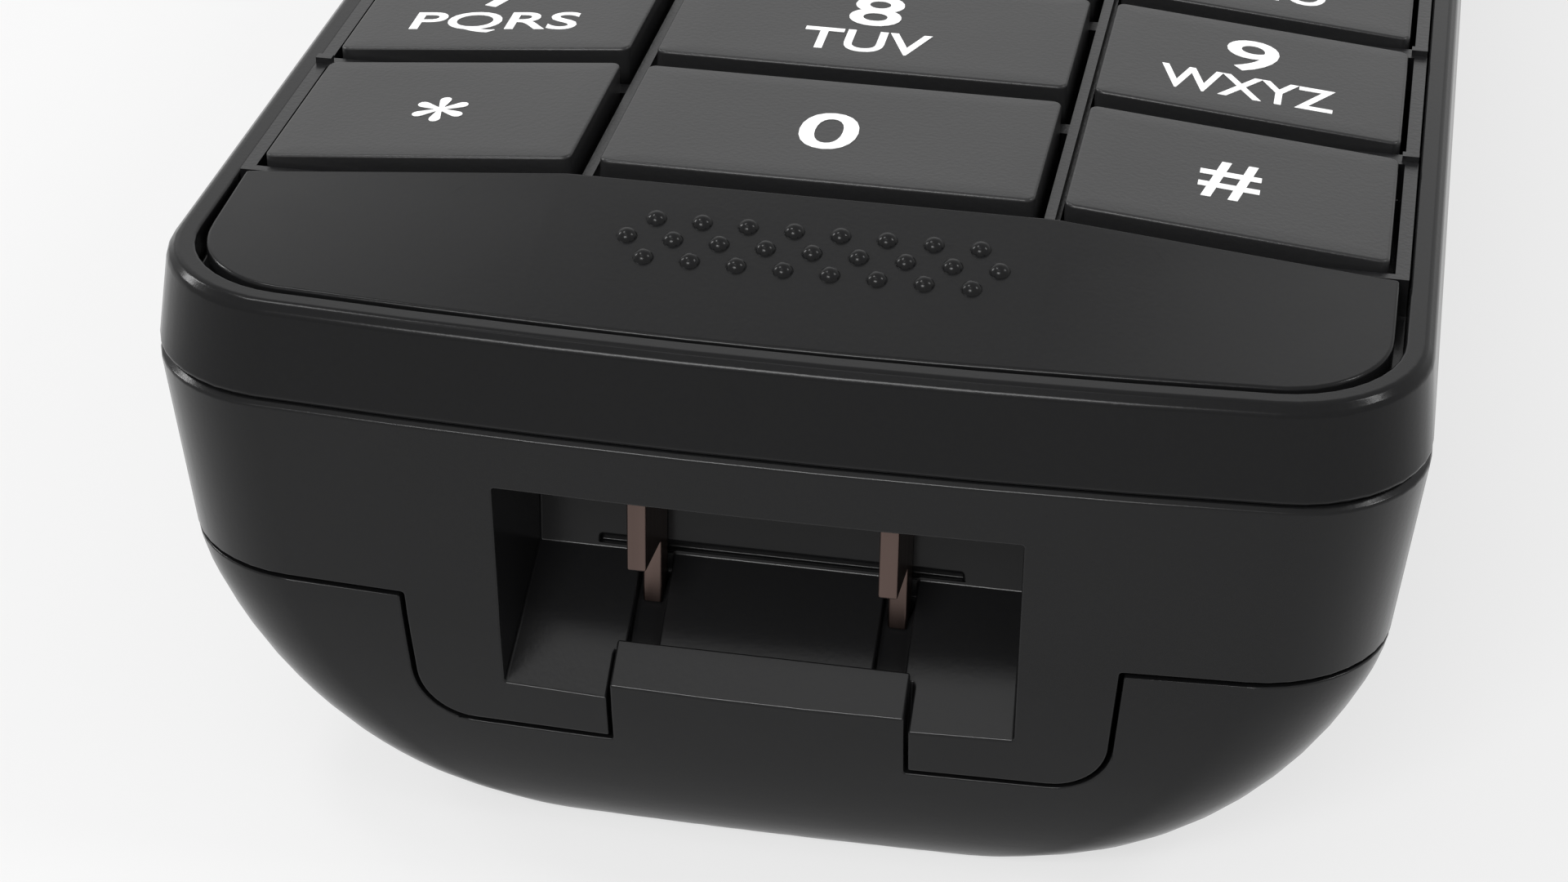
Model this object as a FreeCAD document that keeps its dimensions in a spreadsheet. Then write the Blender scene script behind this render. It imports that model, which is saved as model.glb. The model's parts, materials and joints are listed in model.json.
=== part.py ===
"""Cordless telephone handset, lying on its back: +X across, +Y towards the earpiece, +Z out of the keys.

The origin is under the middle of the handset, on the surface that it lies on.  All sizes are in millimetres.
"""

import FreeCAD, Part
import math
import os
import re

import Sketcher

SIZES = {
    # the case
    "body_length": ("162", "length over both ends"),
    "body_width": ("47.4", "widest, at the joint between the two half shells"),
    "body_depth": ("24.6", "from the back to the top of the middle keys"),
    "shell_split_drop": ("5.5", "front and rear shell meet this far below the key tops"),
    "cover_split_drop": ("13.3", "rear shell and battery cover meet this far below the key tops"),
    "corner_radius": ("5.4", "corner of the outline, seen from the front"),
    "end_bow_radius": ("250", "slight bow of the two ends"),
    "wall": ("1.8", "shell wall"),
    "edge_break": ("0.22", "broken edge along the joints of the shells"),
    "rim_drop": ("1.7", "rim below the key tops"),
    "rim_width": ("1.1", "flat width of the rim"),
    "rim_bevel": ("0.35", "bevel around the rim"),
    "rim_lean_side": ("0.28", "side wall leans in by this much at the rim"),
    "rim_lean_end": ("0.43", "end wall leans in by this much at the rim"),
    "rim_corner_growth": ("0.3", "corner of the outline is this much larger at the rim"),
    "inner_corner_share": ("0.6", "a corner of the inside is smaller by this share of the wall"),
    "rear_lean_side": ("0.74", "side wall leans in by this much at the battery cover"),
    "rear_lean_end": ("0.7", "end wall leans in by this much at the battery cover"),
    # the belly of the battery cover and the back
    "belly_side_inset": ("12.7", "the flat of the belly lies this far in from the sides"),
    "belly_lower_inset": ("4.2", "and this far in from the lower end"),
    "belly_upper_inset": ("70", "and this far in from the upper end"),
    "belly_side_power": ("2.29", "fullness of the belly across"),
    "belly_depth_power": ("1.32", "fullness of the belly down"),
    "cover_length": ("92", "battery cover, from the lower end"),
    "cover_gap": ("0.17", "gap around the battery cover"),
    "grip_start": ("75", "lowest thumb groove in the battery cover, from the lower end"),
    "grip_pitch": ("1.8", "thumb grooves in the battery cover"),
    "grip_width": ("15", "thumb grooves in the battery cover"),
    "grip_groove": ("0.8", "width of a thumb groove"),
    "grip_depth": ("0.35", "thumb grooves in the battery cover"),
    # deck, panels and keys
    "deck_drop": ("3.0", "top of the deck under the panels, below the key tops"),
    "deck_thickness": ("1.0", "deck"),
    "deck_window_margin": ("1", "opening in the deck beyond the display window"),
    "panel_gap": ("0.38", "gap between the rim and the panels"),
    "crease_offset": ("9.2", "half width of the flat middle of the front"),
    "crown_fall": ("1.15", "side facets fall this far at the outer key edge"),
    "web_drop": ("1.5", "web between the keys, below the key tops"),
    "rib_height": ("0.55", "ribs on the web"),
    "rib_width": ("0.4", "ribs on the web"),
    "web_overlap": ("0.2", "web under the panels above and below it"),
    "web_fit": ("0.05", "between the web and the rim"),
    "nub_drop": ("0.3", "nubs beside the keys, below the ribs"),
    "keypad_start": ("11.94", "lower edge of the lowest number row, from the lower end"),
    "row_pitch": ("10.36", "number rows"),
    "row_gap": ("1.36", "between the number rows"),
    "middle_key_width": ("16.6", "middle column"),
    "column_gap": ("1.1", "between the columns"),
    "side_key_width": ("12.1", "outer columns"),
    "key_depth": ("4.7", "key from its top to its foot"),
    "key_corner": ("0.7", "corner radius of the keys"),
    "key_edge": ("0.3", "rounded top edge of the keys"),
    "key_clearance": ("0.25", "between a key and its hole"),
    "key_foot": ("0.4", "foot of a key stands out by this much"),
    "foot_play": ("0.2", "between the foot of a key and the deck"),
    "panel_seam": ("0.9", "gap between the keypad and the panels above and below it"),
    # microphone panel
    "mic_panel_drop": ("0.2", "upper edge of the microphone panel, below the key tops"),
    "mic_panel_sink": ("0.1", "lower edge of the microphone panel, below the rim"),
    "dome_pitch": ("1.73", "domes over the microphone"),
    "dome_row_pitch": ("1.18", "rows of domes"),
    "dome_radius": ("0.42", "domes"),
    "dome_sink": ("0.3", "share of a dome's radius that its middle lies under the panel"),
    "dome_offset": ("0.7", "the field of domes lies this far to the right"),
    "dome_row_start": ("6.35", "lowest row of domes, from the lower end"),
    # control panel
    "faceplate_drop": ("0.3", "control panel below the key tops"),
    "function_key_width": ("11.4", "keys under the navigator"),
    "function_key_length": ("6.4", "keys under the navigator"),
    "function_key_spacing": ("14.6", "keys under the navigator"),
    "function_key_corner": ("1.6", "keys under the navigator"),
    "function_step": ("7.58", "function keys, from the upper edge of the keypad"),
    "navigator_step": ("19", "navigator, from the function keys"),
    "navigator_size": ("18", "navigator"),
    "navigator_corner": ("6", "navigator"),
    "select_radius": ("4.0", "key in the middle of the navigator"),
    "call_key_width": ("9", "talk and off keys"),
    "call_key_length": ("15", "talk and off keys"),
    "call_key_offset": ("15.6", "talk and off keys from the middle"),
    "call_key_corner": ("3", "talk and off keys"),
    "soft_key_width": ("11", "keys under the display"),
    "soft_key_length": ("5", "keys under the display"),
    "soft_key_offset": ("12.5", "keys under the display, from the middle"),
    "soft_key_corner": ("2", "keys under the display"),
    "soft_key_step": ("15.6", "keys under the display, from the navigator"),
    "control_clearance": ("0.35", "around the control keys"),
    "control_rise": ("0.55", "control keys above the panel"),
    "control_edge": ("0.5", "rounded edge of the control keys"),
    "select_sink": ("0.15", "key in the middle of the navigator, below the navigator"),
    "window_width": ("32", "display window"),
    "window_length": ("25", "display window"),
    "window_corner": ("1.5", "display window"),
    "window_step": ("22.3", "display window, from the keys under it"),
    "lens_width": ("38", "display lens"),
    "lens_length": ("32", "display lens"),
    "lens_thickness": ("1.4", "display lens"),
    "lens_corner": ("2.9", "display lens"),
    "lens_clearance": ("0.1", "around the display lens"),
    "lens_sink": ("0.05", "display lens below the panel"),
    "ear_share": ("0.83505", "earpiece, as a share of its free room between the display and the antenna"),
    "grille_width": ("15", "earpiece grille"),
    "grille_length": ("3.6", "earpiece grille"),
    "grille_corner": ("1.65", "earpiece grille"),
    "grille_sink": ("0.5", "earpiece grille below the panel"),
    "grille_slot_width": ("1.5", "slots of the earpiece grille"),
    "grille_slot_pitch": ("2.5", "slots of the earpiece grille"),
    "grille_border": ("0.7", "earpiece grille beyond its slots"),
    "insert_fit": ("0.05", "around the grille and the lamp"),
    "lamp_width": ("7", "message lamp"),
    "lamp_length": ("2", "message lamp"),
    "lamp_corner": ("0.85", "message lamp"),
    "lamp_rise": ("0.2", "message lamp above the panel"),
    "lamp_inset": ("8", "message lamp, from the upper end"),
    # charging recess
    "recess_width": ("19.7", "mouth of the charging recess"),
    "recess_back_width": ("18.6", "back of the charging recess"),
    "recess_depth": ("5.94", "depth of the charging recess"),
    "recess_top_drop": ("7.9", "ceiling of the recess below the key tops"),
    "recess_ceiling_fall": ("0.3", "ceiling of the recess falls this far towards its back"),
    "recess_floor_slope": ("0.804", "floor falls by this much for each millimetre outwards"),
    "leg_width": ("26.8", "over the two legs of the rear shell"),
    "leg_drop": ("19.05", "lower end of the legs below the key tops"),
    "leg_corner": ("2.2", "outer corner of the legs"),
    "leg_draft": ("0.4", "each leg draws in by this much at its lower end"),
    "tongue_width": ("11.15", "tongue of the battery cover"),
    "tongue_start": ("2.6", "upper edge of the tongue, from the lower end"),
    "tongue_rise": ("0.7", "tongue above the recess floor"),
    "tongue_side_gap": ("0.15", "gap to each side of the tongue"),
    "contact_spacing": ("9.4", "between the charging contacts"),
    "contact_thickness": ("0.73", "charging contacts"),
    "contact_front": ("1.95", "front edge of the charging contacts, from the lower end"),
    "contact_tip_drop": ("11.8", "front corner of the charging contacts below the key tops"),
    "contact_step": ("2.8", "foot of a charging contact stands back this far"),
    "contact_lip": ("0.3", "underside of a contact's front corner falls by this much"),
    "contact_root": ("1.6", "charging contacts end this far below the back of the recess floor"),
    "contact_heel": ("0.4", "the rear of a contact's foot is higher by this much"),
    "contact_fit": ("0.04", "between a charging contact and its slot"),
    "groove_width": ("1.2", "grooves in the recess floor"),
    "groove_depth": ("0.8", "grooves in the recess floor"),
    "back_groove_width": ("14", "groove across the back of the recess"),
    "back_groove_height": ("0.4", "groove across the back of the recess"),
    "back_groove_depth": ("0.35", "groove across the back of the recess"),
    "back_groove_rise": ("0.05", "groove across the back of the recess, above its floor"),
    "carrier_width": ("14.4", "carrier of the charging contacts"),
    "carrier_inset": ("0.6", "carrier of the charging contacts, from the back of the recess"),
    "carrier_fit": ("0.05", "between the charging contacts and their carrier"),
    # inside
    "board_thickness": ("1.6", "main board"),
    "board_drop": ("7.0", "top of the main board below the key tops"),
    "board_width": ("39", "main board"),
    "board_start": ("11.6", "main board, from the lower end"),
    "board_end": ("135", "main board, from the lower end"),
    "mat_thickness": ("1.2", "key mat"),
    "mat_nub": ("0.4", "nubs of the key mat"),
    "mat_nub_radius": ("1.8", "nubs of the key mat"),
    "mat_side_inset": ("2.6", "key mat, from the outer edge of the keys"),
    "mat_start_inset": ("0.4", "key mat, from the lower end of the board"),
    "mat_end_step": ("3.4", "key mat beyond the middle of the keys under the display"),
    "tray_drop": ("11.4", "underside of the battery tray below the key tops"),
    "tray_thickness": ("1.0", "battery tray"),
    "cell_radius": ("5.25", "battery cell"),
    "cell_length": ("44.5", "battery cell"),
    "cell_start": ("14", "battery cells, from the lower end"),
    "cell_gap": ("0.35", "around the cells"),
    "cell_button": ("0.8", "height of a cell's button"),
    "cell_button_share": ("0.36", "radius of the button as a share of the cell's"),
    "bay_wall": ("1.2", "walls around the cells"),
    "bay_end_room": ("0.8", "room for the leaves at each end of the cells"),
    "bay_foot": ("2.4", "walls around the cells, above the inside of the cover"),
    "screw_radius": ("1.1", "case screws"),
    "screw_head_radius": ("2.0", "case screws"),
    "screw_head_height": ("1.5", "case screws"),
    "screw_clearance": ("0.1", "around the case screws in the rear shell"),
    "pilot_clearance": ("0.05", "around the case screws in their bosses"),
    "boss_radius": ("2.5", "screw bosses"),
    "boss_clearance": ("0.5", "around the bosses in the board and the key mat"),
    "boss_fit": ("0.05", "between a boss and the battery tray"),
    "lower_screw_row": ("8.4", "lower screws, from the lower end"),
    "upper_screw_step": ("7.6", "upper screws, from the function keys"),
    "lower_screw_offset": ("17", "lower screws, from the middle"),
    "upper_screw_offset": ("18.4", "upper screws, from the middle"),
    "speaker_radius": ("9", "loudspeaker"),
    "speaker_row": ("112", "loudspeaker, from the lower end"),
    "speaker_height": ("3.9", "loudspeaker"),
    "speaker_rise": ("2.6", "gasket of the loudspeaker, above the wall of the back"),
    "speaker_gasket_width": ("1.5", "gasket of the loudspeaker"),
    "speaker_gasket_height": ("0.7", "gasket of the loudspeaker"),
    "speaker_slot_width": ("1.3", "slots over the loudspeaker"),
    "speaker_slot_corner": ("0.6", "slots over the loudspeaker"),
    "receiver_radius": ("6.4", "earpiece receiver"),
    "receiver_height": ("3.4", "earpiece receiver"),
    "receiver_gasket_width": ("1.6", "gasket of the earpiece receiver"),
    "receiver_gasket_height": ("0.6", "gasket of the earpiece receiver"),
    "ear_hole_inset": ("2", "hole in the deck is this much smaller than the receiver"),
    "microphone_radius": ("2", "microphone"),
    "microphone_row": ("8.4", "microphone, from the lower end"),
    "microphone_height": ("1.3", "microphone"),
    "mic_hole_inset": ("1", "hole in the deck is this much smaller than the microphone"),
    "boot_wall": ("0.6", "rubber boot around the microphone"),
    "shield_row": ("114", "shield can under the board, from the lower end"),
    "shield_width": ("25", "shield can under the board"),
    "shield_length": ("20", "shield can under the board"),
    "shield_height": ("2.4", "shield can under the board"),
    "guide_thickness": ("0.9", "light guide under the display"),
    "display_fit": ("0.1", "between the display and the deck"),
    "display_inset": ("1", "display, from each end of the lens"),
    "antenna_width": ("28", "antenna"),
    "antenna_inset": ("8", "antenna, from the upper end"),
    "antenna_thickness": ("1.5", "antenna"),
    "antenna_height": ("2.4", "antenna"),
    "leaf_width": ("6.4", "spring leaves that touch the cells"),
    "leaf_thickness": ("0.3", "spring leaves that touch the cells"),
    "leaf_room": ("0.4", "behind the lower spring leaves"),
}

SAME_PLACE = 1e-3   # millimetres
ROWS = 4
DOME_COUNTS = (8, 9, 8)
GRIP_GROOVES = 6
GRILLE_SLOTS = 5
SPEAKER_SLOTS = 5
SPEAKER_SLOT_SPREAD = 0.36   # from slot to slot, as a share of the loudspeaker's radius
HULL_STEPS = (0, 8, 18, 30, 42, 54, 65, 75, 83, 90)
KEY_NAMES = (
    ("key_star", "key_0", "key_hash"),
    ("key_7", "key_8", "key_9"),
    ("key_4", "key_5", "key_6"),
    ("key_1", "key_2", "key_3"),
)
FUNCTION_KEYS = ("key_redial", "key_speaker", "key_mute")

doc = FreeCAD.newDocument("CordlessHandset")
sheet = doc.addObject("Spreadsheet::Sheet", "Sizes")
for line, (alias, (number, note)) in enumerate(SIZES.items(), start=1):
    sheet.set(f"A{line}", note)
    sheet.set(f"B{line}", number)
    sheet.setAlias(f"B{line}", alias)
doc.recompute()


# ---------------------------------------------------------------- expressions

def sized(text):
    """The expression with each size read from the sheet."""
    return re.sub(r"[a-z][a-z_]+", lambda m: f"Sizes.{m[0]}" if m[0] in SIZES else m[0], str(text))


def value(text):
    return float(sheet.evalExpression(sized(text)))


def bind(thing, prop, text):
    thing.setExpression(prop, sized(text))


def below_keys(drop):
    """Height of something that lies a drop below the key tops."""
    return f"(body_depth - ({drop}))"


def from_end(distance):
    """Place along the handset of something at a distance from the lower end."""
    return f"(({distance}) - body_length / 2)"


SPLIT_Z = below_keys("shell_split_drop")
COVER_Z = below_keys("cover_split_drop")
RIM_Z = below_keys("rim_drop")
DECK_Z = below_keys("deck_drop")
DECK_UNDER = below_keys("deck_drop + deck_thickness")
WEB_Z = below_keys("web_drop")
KEY_FOOT_Z = below_keys("key_depth")
BOARD_Z = below_keys("board_drop")
MAT_Z = f"({BOARD_Z} + mat_thickness)"
TRAY_Z = below_keys("tray_drop")
TRAY_TOP = f"({TRAY_Z} + tray_thickness)"
RECESS_Z = below_keys("recess_top_drop")
RECESS_BACK_Z = COVER_Z
LEG_Z = below_keys("leg_drop")
CONTACT_TOP = f"({SPLIT_Z} + 1)"
FACE_Z = below_keys("faceplate_drop")
KEY_OUTER = "(middle_key_width / 2 + column_gap + side_key_width)"
KEY_INNER = "(middle_key_width / 2 + column_gap)"
CROWN_SLOPE = f"(crown_fall / ({KEY_OUTER} - crease_offset))"
KEY_LENGTH = "(row_pitch - row_gap)"
KEYPAD_END = f"(keypad_start + 3 * row_pitch + {KEY_LENGTH})"
FUNCTION_ROW = f"({KEYPAD_END} + function_step)"
NAVIGATOR_ROW = f"({FUNCTION_ROW} + navigator_step)"
SOFT_KEY_ROW = f"({NAVIGATOR_ROW} + soft_key_step)"
WINDOW_ROW = f"({SOFT_KEY_ROW} + window_step)"
LAMP_ROW = "(body_length - lamp_inset)"
ANTENNA_START = "(body_length - antenna_inset)"
DISPLAY_END = f"({WINDOW_ROW} + lens_length / 2 - display_inset)"
EAR_ROOM = f"({ANTENNA_START} - {DISPLAY_END} - 2 * receiver_radius)"
GRILLE_ROW = f"({DISPLAY_END} + receiver_radius + ear_share * {EAR_ROOM})"
HALF = "(body_width / 2)"
RIM_HALF = f"({HALF} - rim_lean_side)"
OPENING_HALF = f"({RIM_HALF} - rim_width)"
COVER_HALF = f"({HALF} - rear_lean_side)"
RIM_END = "(rim_lean_end + rim_width)"
BLOCK_DEPTH = "(recess_depth + wall)"
CELL_Z = "(wall + cell_gap + cell_radius)"
INNER_CORNER = "corner_radius - inner_corner_share * wall"
RIM_CORNER = "corner_radius + rim_corner_growth"
FAR = "body_length"
MARGIN = "1"   # cutters reach this far beyond what they cut
DECK_CUT = (f"{DECK_UNDER} - {MARGIN}", f"{DECK_Z} + {MARGIN}")
PANEL_CUT = (f"{DECK_Z} - {MARGIN}", f"{FACE_Z} + {MARGIN}")


# ---------------------------------------------------------------- building blocks

def outline(name, half, inset_low, inset_high, corner, height):
    """A closed outline across the handset: straight sides, bowed ends and round corners."""
    sketch = doc.addObject("Sketcher::SketchObject", name)
    bind(sketch, "Placement.Base.z", height)
    low = from_end(inset_low)
    high = f"(body_length / 2 - ({inset_high}))"
    w, r, bow = value(half), value(corner), value("end_bow_radius")
    bow_low, bow_high = value(low) + bow, value(high) - bow
    reach = math.sqrt((bow - r) ** 2 - (w - r) ** 2)
    turn = math.atan2(reach, w - r)
    y_low, y_high = bow_low - reach, bow_high + reach

    def arc(x, y, radius, start, end):
        circle = Part.Circle(FreeCAD.Vector(x, y, 0), FreeCAD.Vector(0, 0, 1), radius)
        sketch.addGeometry(Part.ArcOfCircle(circle, start, end), False)

    def side(x, start, end):
        sketch.addGeometry(Part.LineSegment(FreeCAD.Vector(x, start, 0), FreeCAD.Vector(x, end, 0)), False)

    arc(0, bow_low, bow, math.pi + turn, 2 * math.pi - turn)
    arc(w - r, y_low, r, -turn, 0)
    side(w, y_low, y_high)
    arc(w - r, y_high, r, 0, turn)
    arc(0, bow_high, bow, turn, math.pi - turn)
    arc(r - w, y_high, r, math.pi - turn, math.pi)
    side(-w, y_high, y_low)
    arc(r - w, y_low, r, math.pi, math.pi + turn)
    for piece in range(8):
        sketch.addConstraint(Sketcher.Constraint("Tangent", piece, 2, (piece + 1) % 8, 1))
    for piece in (2, 6):
        sketch.addConstraint(Sketcher.Constraint("Vertical", piece))
    for piece in (0, 4):
        sketch.addConstraint(Sketcher.Constraint("PointOnObject", piece, 3, -2))
    for piece in (0, 4):
        driven(sketch, f"bow{piece}", Sketcher.Constraint("Radius", piece, bow), "end_bow_radius")
    for piece in (1, 3, 5, 7):
        driven(sketch, f"corner{piece}", Sketcher.Constraint("Radius", piece, r), corner)
    driven(sketch, "right", Sketcher.Constraint("DistanceX", -1, 1, 2, 1, w), half)
    driven(sketch, "left", Sketcher.Constraint("DistanceX", -1, 1, 6, 1, -w), f"-({half})")
    driven(sketch, "low", Sketcher.Constraint("DistanceY", -1, 1, 0, 3, bow_low), f"{low} + end_bow_radius")
    driven(sketch, "high", Sketcher.Constraint("DistanceY", -1, 1, 4, 3, bow_high),
           f"{high} - end_bow_radius")
    return sketch


def driven(sketch, name, constraint, text):
    """A named constraint whose value comes from the sheet."""
    index = sketch.addConstraint(constraint)
    sketch.renameConstraint(index, name)
    bind(sketch, f"Constraints.{name}", text)


def loft(name, sections, ruled):
    solid = doc.addObject("Part::Loft", name)
    solid.Sections = sections
    solid.Solid = True
    solid.Ruled = ruled
    return solid


def fuse(name, *shapes):
    result = doc.addObject("Part::MultiFuse", name)
    result.Shapes = list(shapes)
    return result


def common(name, *shapes):
    result = doc.addObject("Part::MultiCommon", name)
    result.Shapes = list(shapes)
    return result


def cut(name, base, *tools):
    result = doc.addObject("Part::Cut", name)
    result.Base = base
    result.Tool = tools[0] if len(tools) == 1 else fuse(f"{name}_cutters", *tools)
    return result


def block(name, x, y, z):
    """A box between pairs of expressions."""
    box = doc.addObject("Part::Box", name)
    for (start, end), size, axis in ((x, "Length", "x"), (y, "Width", "y"), (z, "Height", "z")):
        bind(box, size, f"({end}) - ({start})")
        bind(box, f"Placement.Base.{axis}", start)
    return box


def rod(name, radius, x, y, z):
    """An upright cylinder between two heights."""
    cylinder = doc.addObject("Part::Cylinder", name)
    bind(cylinder, "Radius", radius)
    bind(cylinder, "Height", f"({z[1]}) - ({z[0]})")
    bind(cylinder, "Placement.Base.x", x)
    bind(cylinder, "Placement.Base.y", y)
    bind(cylinder, "Placement.Base.z", z[0])
    return cylinder


def polygon(body, role, points, name):
    """A polygon on one of the body's own planes."""
    sketch = body.newObject("Sketcher::SketchObject", name)
    plane = [item for item in body.Origin.OriginFeatures if item.Role == role][0]
    sketch.AttachmentSupport = [(plane, "")]
    sketch.MapMode = "FlatFace"
    return drawn(sketch, points)


def drawn(sketch, points):
    """Draws a closed polygon whose every corner is held by two driven distances."""
    corners = [FreeCAD.Vector(value(u), value(v), 0) for u, v in points]
    count = len(corners)
    for index in range(count):
        sketch.addGeometry(Part.LineSegment(corners[index], corners[(index + 1) % count]), False)
    for index in range(count):
        sketch.addConstraint(Sketcher.Constraint("Coincident", index, 2, (index + 1) % count, 1))
    for index, (u, v) in enumerate(points):
        across = Sketcher.Constraint("DistanceX", -1, 1, index, 1, corners[index].x)
        upward = Sketcher.Constraint("DistanceY", -1, 1, index, 1, corners[index].y)
        driven(sketch, f"u{index}", across, u)
        driven(sketch, f"v{index}", upward, v)
    return sketch


def pad(body, sketch, length, name):
    """Pads a sketch by half the length to each side."""
    feature = body.newObject("PartDesign::Pad", name)
    feature.Profile = sketch
    feature.SideType = "Symmetric"
    bind(feature, "Length", length)
    return feature


def padded(name, role, points, length, at=("0", "0", "0")):
    """A body with one symmetric pad, and its place."""
    body = doc.addObject("PartDesign::Body", name)
    pad(body, polygon(body, role, points, f"{name}_profile"), length, f"{name}_pad")
    for axis, text in zip("xyz", at):
        bind(body, f"Placement.Base.{axis}", text)
    return body


def round_edges(body, radius, chosen, name):
    """Rounds the edges that the chooser picks from the body's last feature."""
    doc.recompute()
    last = body.Tip
    picked = [f"Edge{i}" for i, edge in enumerate(last.Shape.Edges, start=1) if chosen(edge)]
    fillet = body.newObject("PartDesign::Fillet", name)
    fillet.Base = (last, picked)
    bind(fillet, "Radius", radius)
    return fillet


def is_upright(edge):
    box = edge.BoundBox
    return box.ZLength > SAME_PLACE and box.XLength < SAME_PLACE and box.YLength < SAME_PLACE


def is_lengthwise(edge):
    box = edge.BoundBox
    return box.YLength > SAME_PLACE and box.XLength < SAME_PLACE and box.ZLength < SAME_PLACE


def above(height):
    """Picks the edges that lie wholly above a height, upright ones left out."""
    return lambda edge: edge.BoundBox.ZMin > height and not is_upright(edge)


def plate(name, width, length, z, corner, edge, at):
    """A flat piece with round corners, and a round top edge where one is given."""
    w, l = f"({width}) / 2", f"({length}) / 2"
    corners = ((f"-{w}", f"-{l}"), (w, f"-{l}"), (w, l), (f"-{w}", l))
    low, high = z
    middle = f"(({low}) + ({high})) / 2"
    body = padded(name, "XY_Plane", corners, f"({high}) - ({low})", (at[0], at[1], middle))
    round_edges(body, corner, is_upright, f"{name}_corners")
    if edge:
        round_edges(body, edge, above(0), f"{name}_edges")
    return body


def crown(name, drop, half, start, end):
    """What lies under the creased front surface: flat in the middle, falling to both sides."""
    fall = f"-({half} - crease_offset) * {CROWN_SLOPE}"
    deep = "-body_depth"
    points = ((f"-{half}", deep), (half, deep), (half, fall), ("crease_offset", "0"),
              ("-crease_offset", "0"), (f"-{half}", fall))
    middle = from_end(f"(({start}) + ({end})) / 2")
    return padded(name, "XZ_Plane", points, f"({end}) - ({start})", ("0", middle, below_keys(drop)))


# ---------------------------------------------------------------- hull

def hull(name, inset, top):
    """The closed volume of the case, a wall's inset inside its surface, up to the height named top.

    Below the cover joint the outline shrinks as a superellipse, from upright walls to the flat of the belly.
    """
    corner = f"(corner_radius - {inset} * inner_corner_share)"
    belly = []
    for index, angle in enumerate(HULL_STEPS):
        down = f"(sin({angle}) ^ (2 / belly_depth_power))"
        inward = f"(1 - cos({angle}) ^ (2 / belly_side_power))"
        belly.append(outline(
            f"{name}_section{index}",
            f"({COVER_HALF} - {inset} - belly_side_inset * {inward})",
            f"(rear_lean_end + {inset} + belly_lower_inset * {inward})",
            f"(rear_lean_end + {inset} + belly_upper_inset * {inward})",
            corner,
            f"({COVER_Z} - ({COVER_Z} - {inset}) * {down})",
        ))
    waist = outline(f"{name}_waist", f"({COVER_HALF} - {inset})", f"(rear_lean_end + {inset})",
                    f"(rear_lean_end + {inset})", corner, COVER_Z)
    upper = [waist]
    for index, (back, height) in enumerate(top):
        upper.append(outline(f"{name}_top{index}", f"({HALF} - {inset} - {back})", f"({inset} + {back})",
                             f"({inset} + {back})", corner, height))
    lower_part = loft(f"{name}_belly", belly, False)
    upper_part = loft(f"{name}_upper", upper, True)
    return lower_part, upper_part


outer_belly, outer_upper = hull("outer", "0", (("0", f"({SPLIT_Z} - edge_break)"), ("edge_break", SPLIT_Z)))
inner_belly, inner_upper = hull("inner", "wall", (("0", SPLIT_Z), ("0", DECK_Z)))


# ---------------------------------------------------------------- charging recess, legs and tongue

def front_slope(lift, start, end, name, half):
    """What lies under a plane parallel to the recess floor, lifted by a little, between two places."""
    def floor(place):
        return f"({RECESS_BACK_Z} + {lift} - (recess_depth - ({place})) * recess_floor_slope)"
    points = ((from_end(start), f"-{MARGIN}"), (from_end(end), f"-{MARGIN}"),
              (from_end(end), floor(end)), (from_end(start), floor(start)))
    return padded(name, "YZ_Plane", points, f"2 * ({half})")


def upright_polygon(name, points, place):
    """A sketch that stands across the handset at a distance from the lower end."""
    sketch = doc.addObject("Sketcher::SketchObject", name)
    sketch.Placement = FreeCAD.Placement(FreeCAD.Vector(), FreeCAD.Rotation(FreeCAD.Vector(1, 0, 0), 90))
    bind(sketch, "Placement.Base.y", from_end(place))
    return drawn(sketch, points)


def rectangle(half, bottom, top):
    return ((f"-({half})", bottom), (half, bottom), (half, top), (f"-({half})", top))


mouth_floor = f"({RECESS_BACK_Z} - (recess_depth + {MARGIN}) * recess_floor_slope)"
recess_mouth = rectangle("recess_width / 2", mouth_floor, RECESS_Z)
recess_back = rectangle("recess_back_width / 2", RECESS_BACK_Z, f"{RECESS_Z} - recess_ceiling_fall")
recess = loft("recess", [
    upright_polygon("recess_mouth", recess_mouth, f"-{MARGIN}"),
    upright_polygon("recess_back", recess_back, "recess_depth"),
], True)


def end_block(name, grow):
    """The solid end of the rear shell around the recess, with its two legs, grown by a gap."""
    half = f"(leg_width / 2 + {grow})"
    low = f"({LEG_Z} - {grow})"
    points = ((f"-{half} + leg_draft", low), (f"{half} - leg_draft", low), (half, COVER_Z),
              (half, DECK_Z), (f"-{half}", DECK_Z), (f"-{half}", COVER_Z))
    start, end = f"-{MARGIN}", f"({BLOCK_DEPTH} + {grow})"
    middle = from_end(f"({start} + {end}) / 2")
    body = padded(name, "XZ_Plane", points, f"({end}) - ({start})", ("0", middle, "0"))
    lowest = value(low)

    def is_lowest(edge):
        return is_lengthwise(edge) and abs(edge.BoundBox.ZMin - lowest) < SAME_PLACE

    round_edges(body, f"leg_corner + {grow}", is_lowest, f"{name}_corners")
    return body


leg_block = end_block("leg_block", "0")
leg_block_gap = end_block("leg_block_gap", "cover_gap")
tongue_blank = front_slope("tongue_rise", f"-{MARGIN}", "tongue_start", "tongue_blank", "tongue_width / 2")
tongue_slot = front_slope(f"tongue_rise + 2 * {MARGIN}", f"-{MARGIN}", "tongue_start + cover_gap",
                          "tongue_slot", "tongue_width / 2 + tongue_side_gap")


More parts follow.
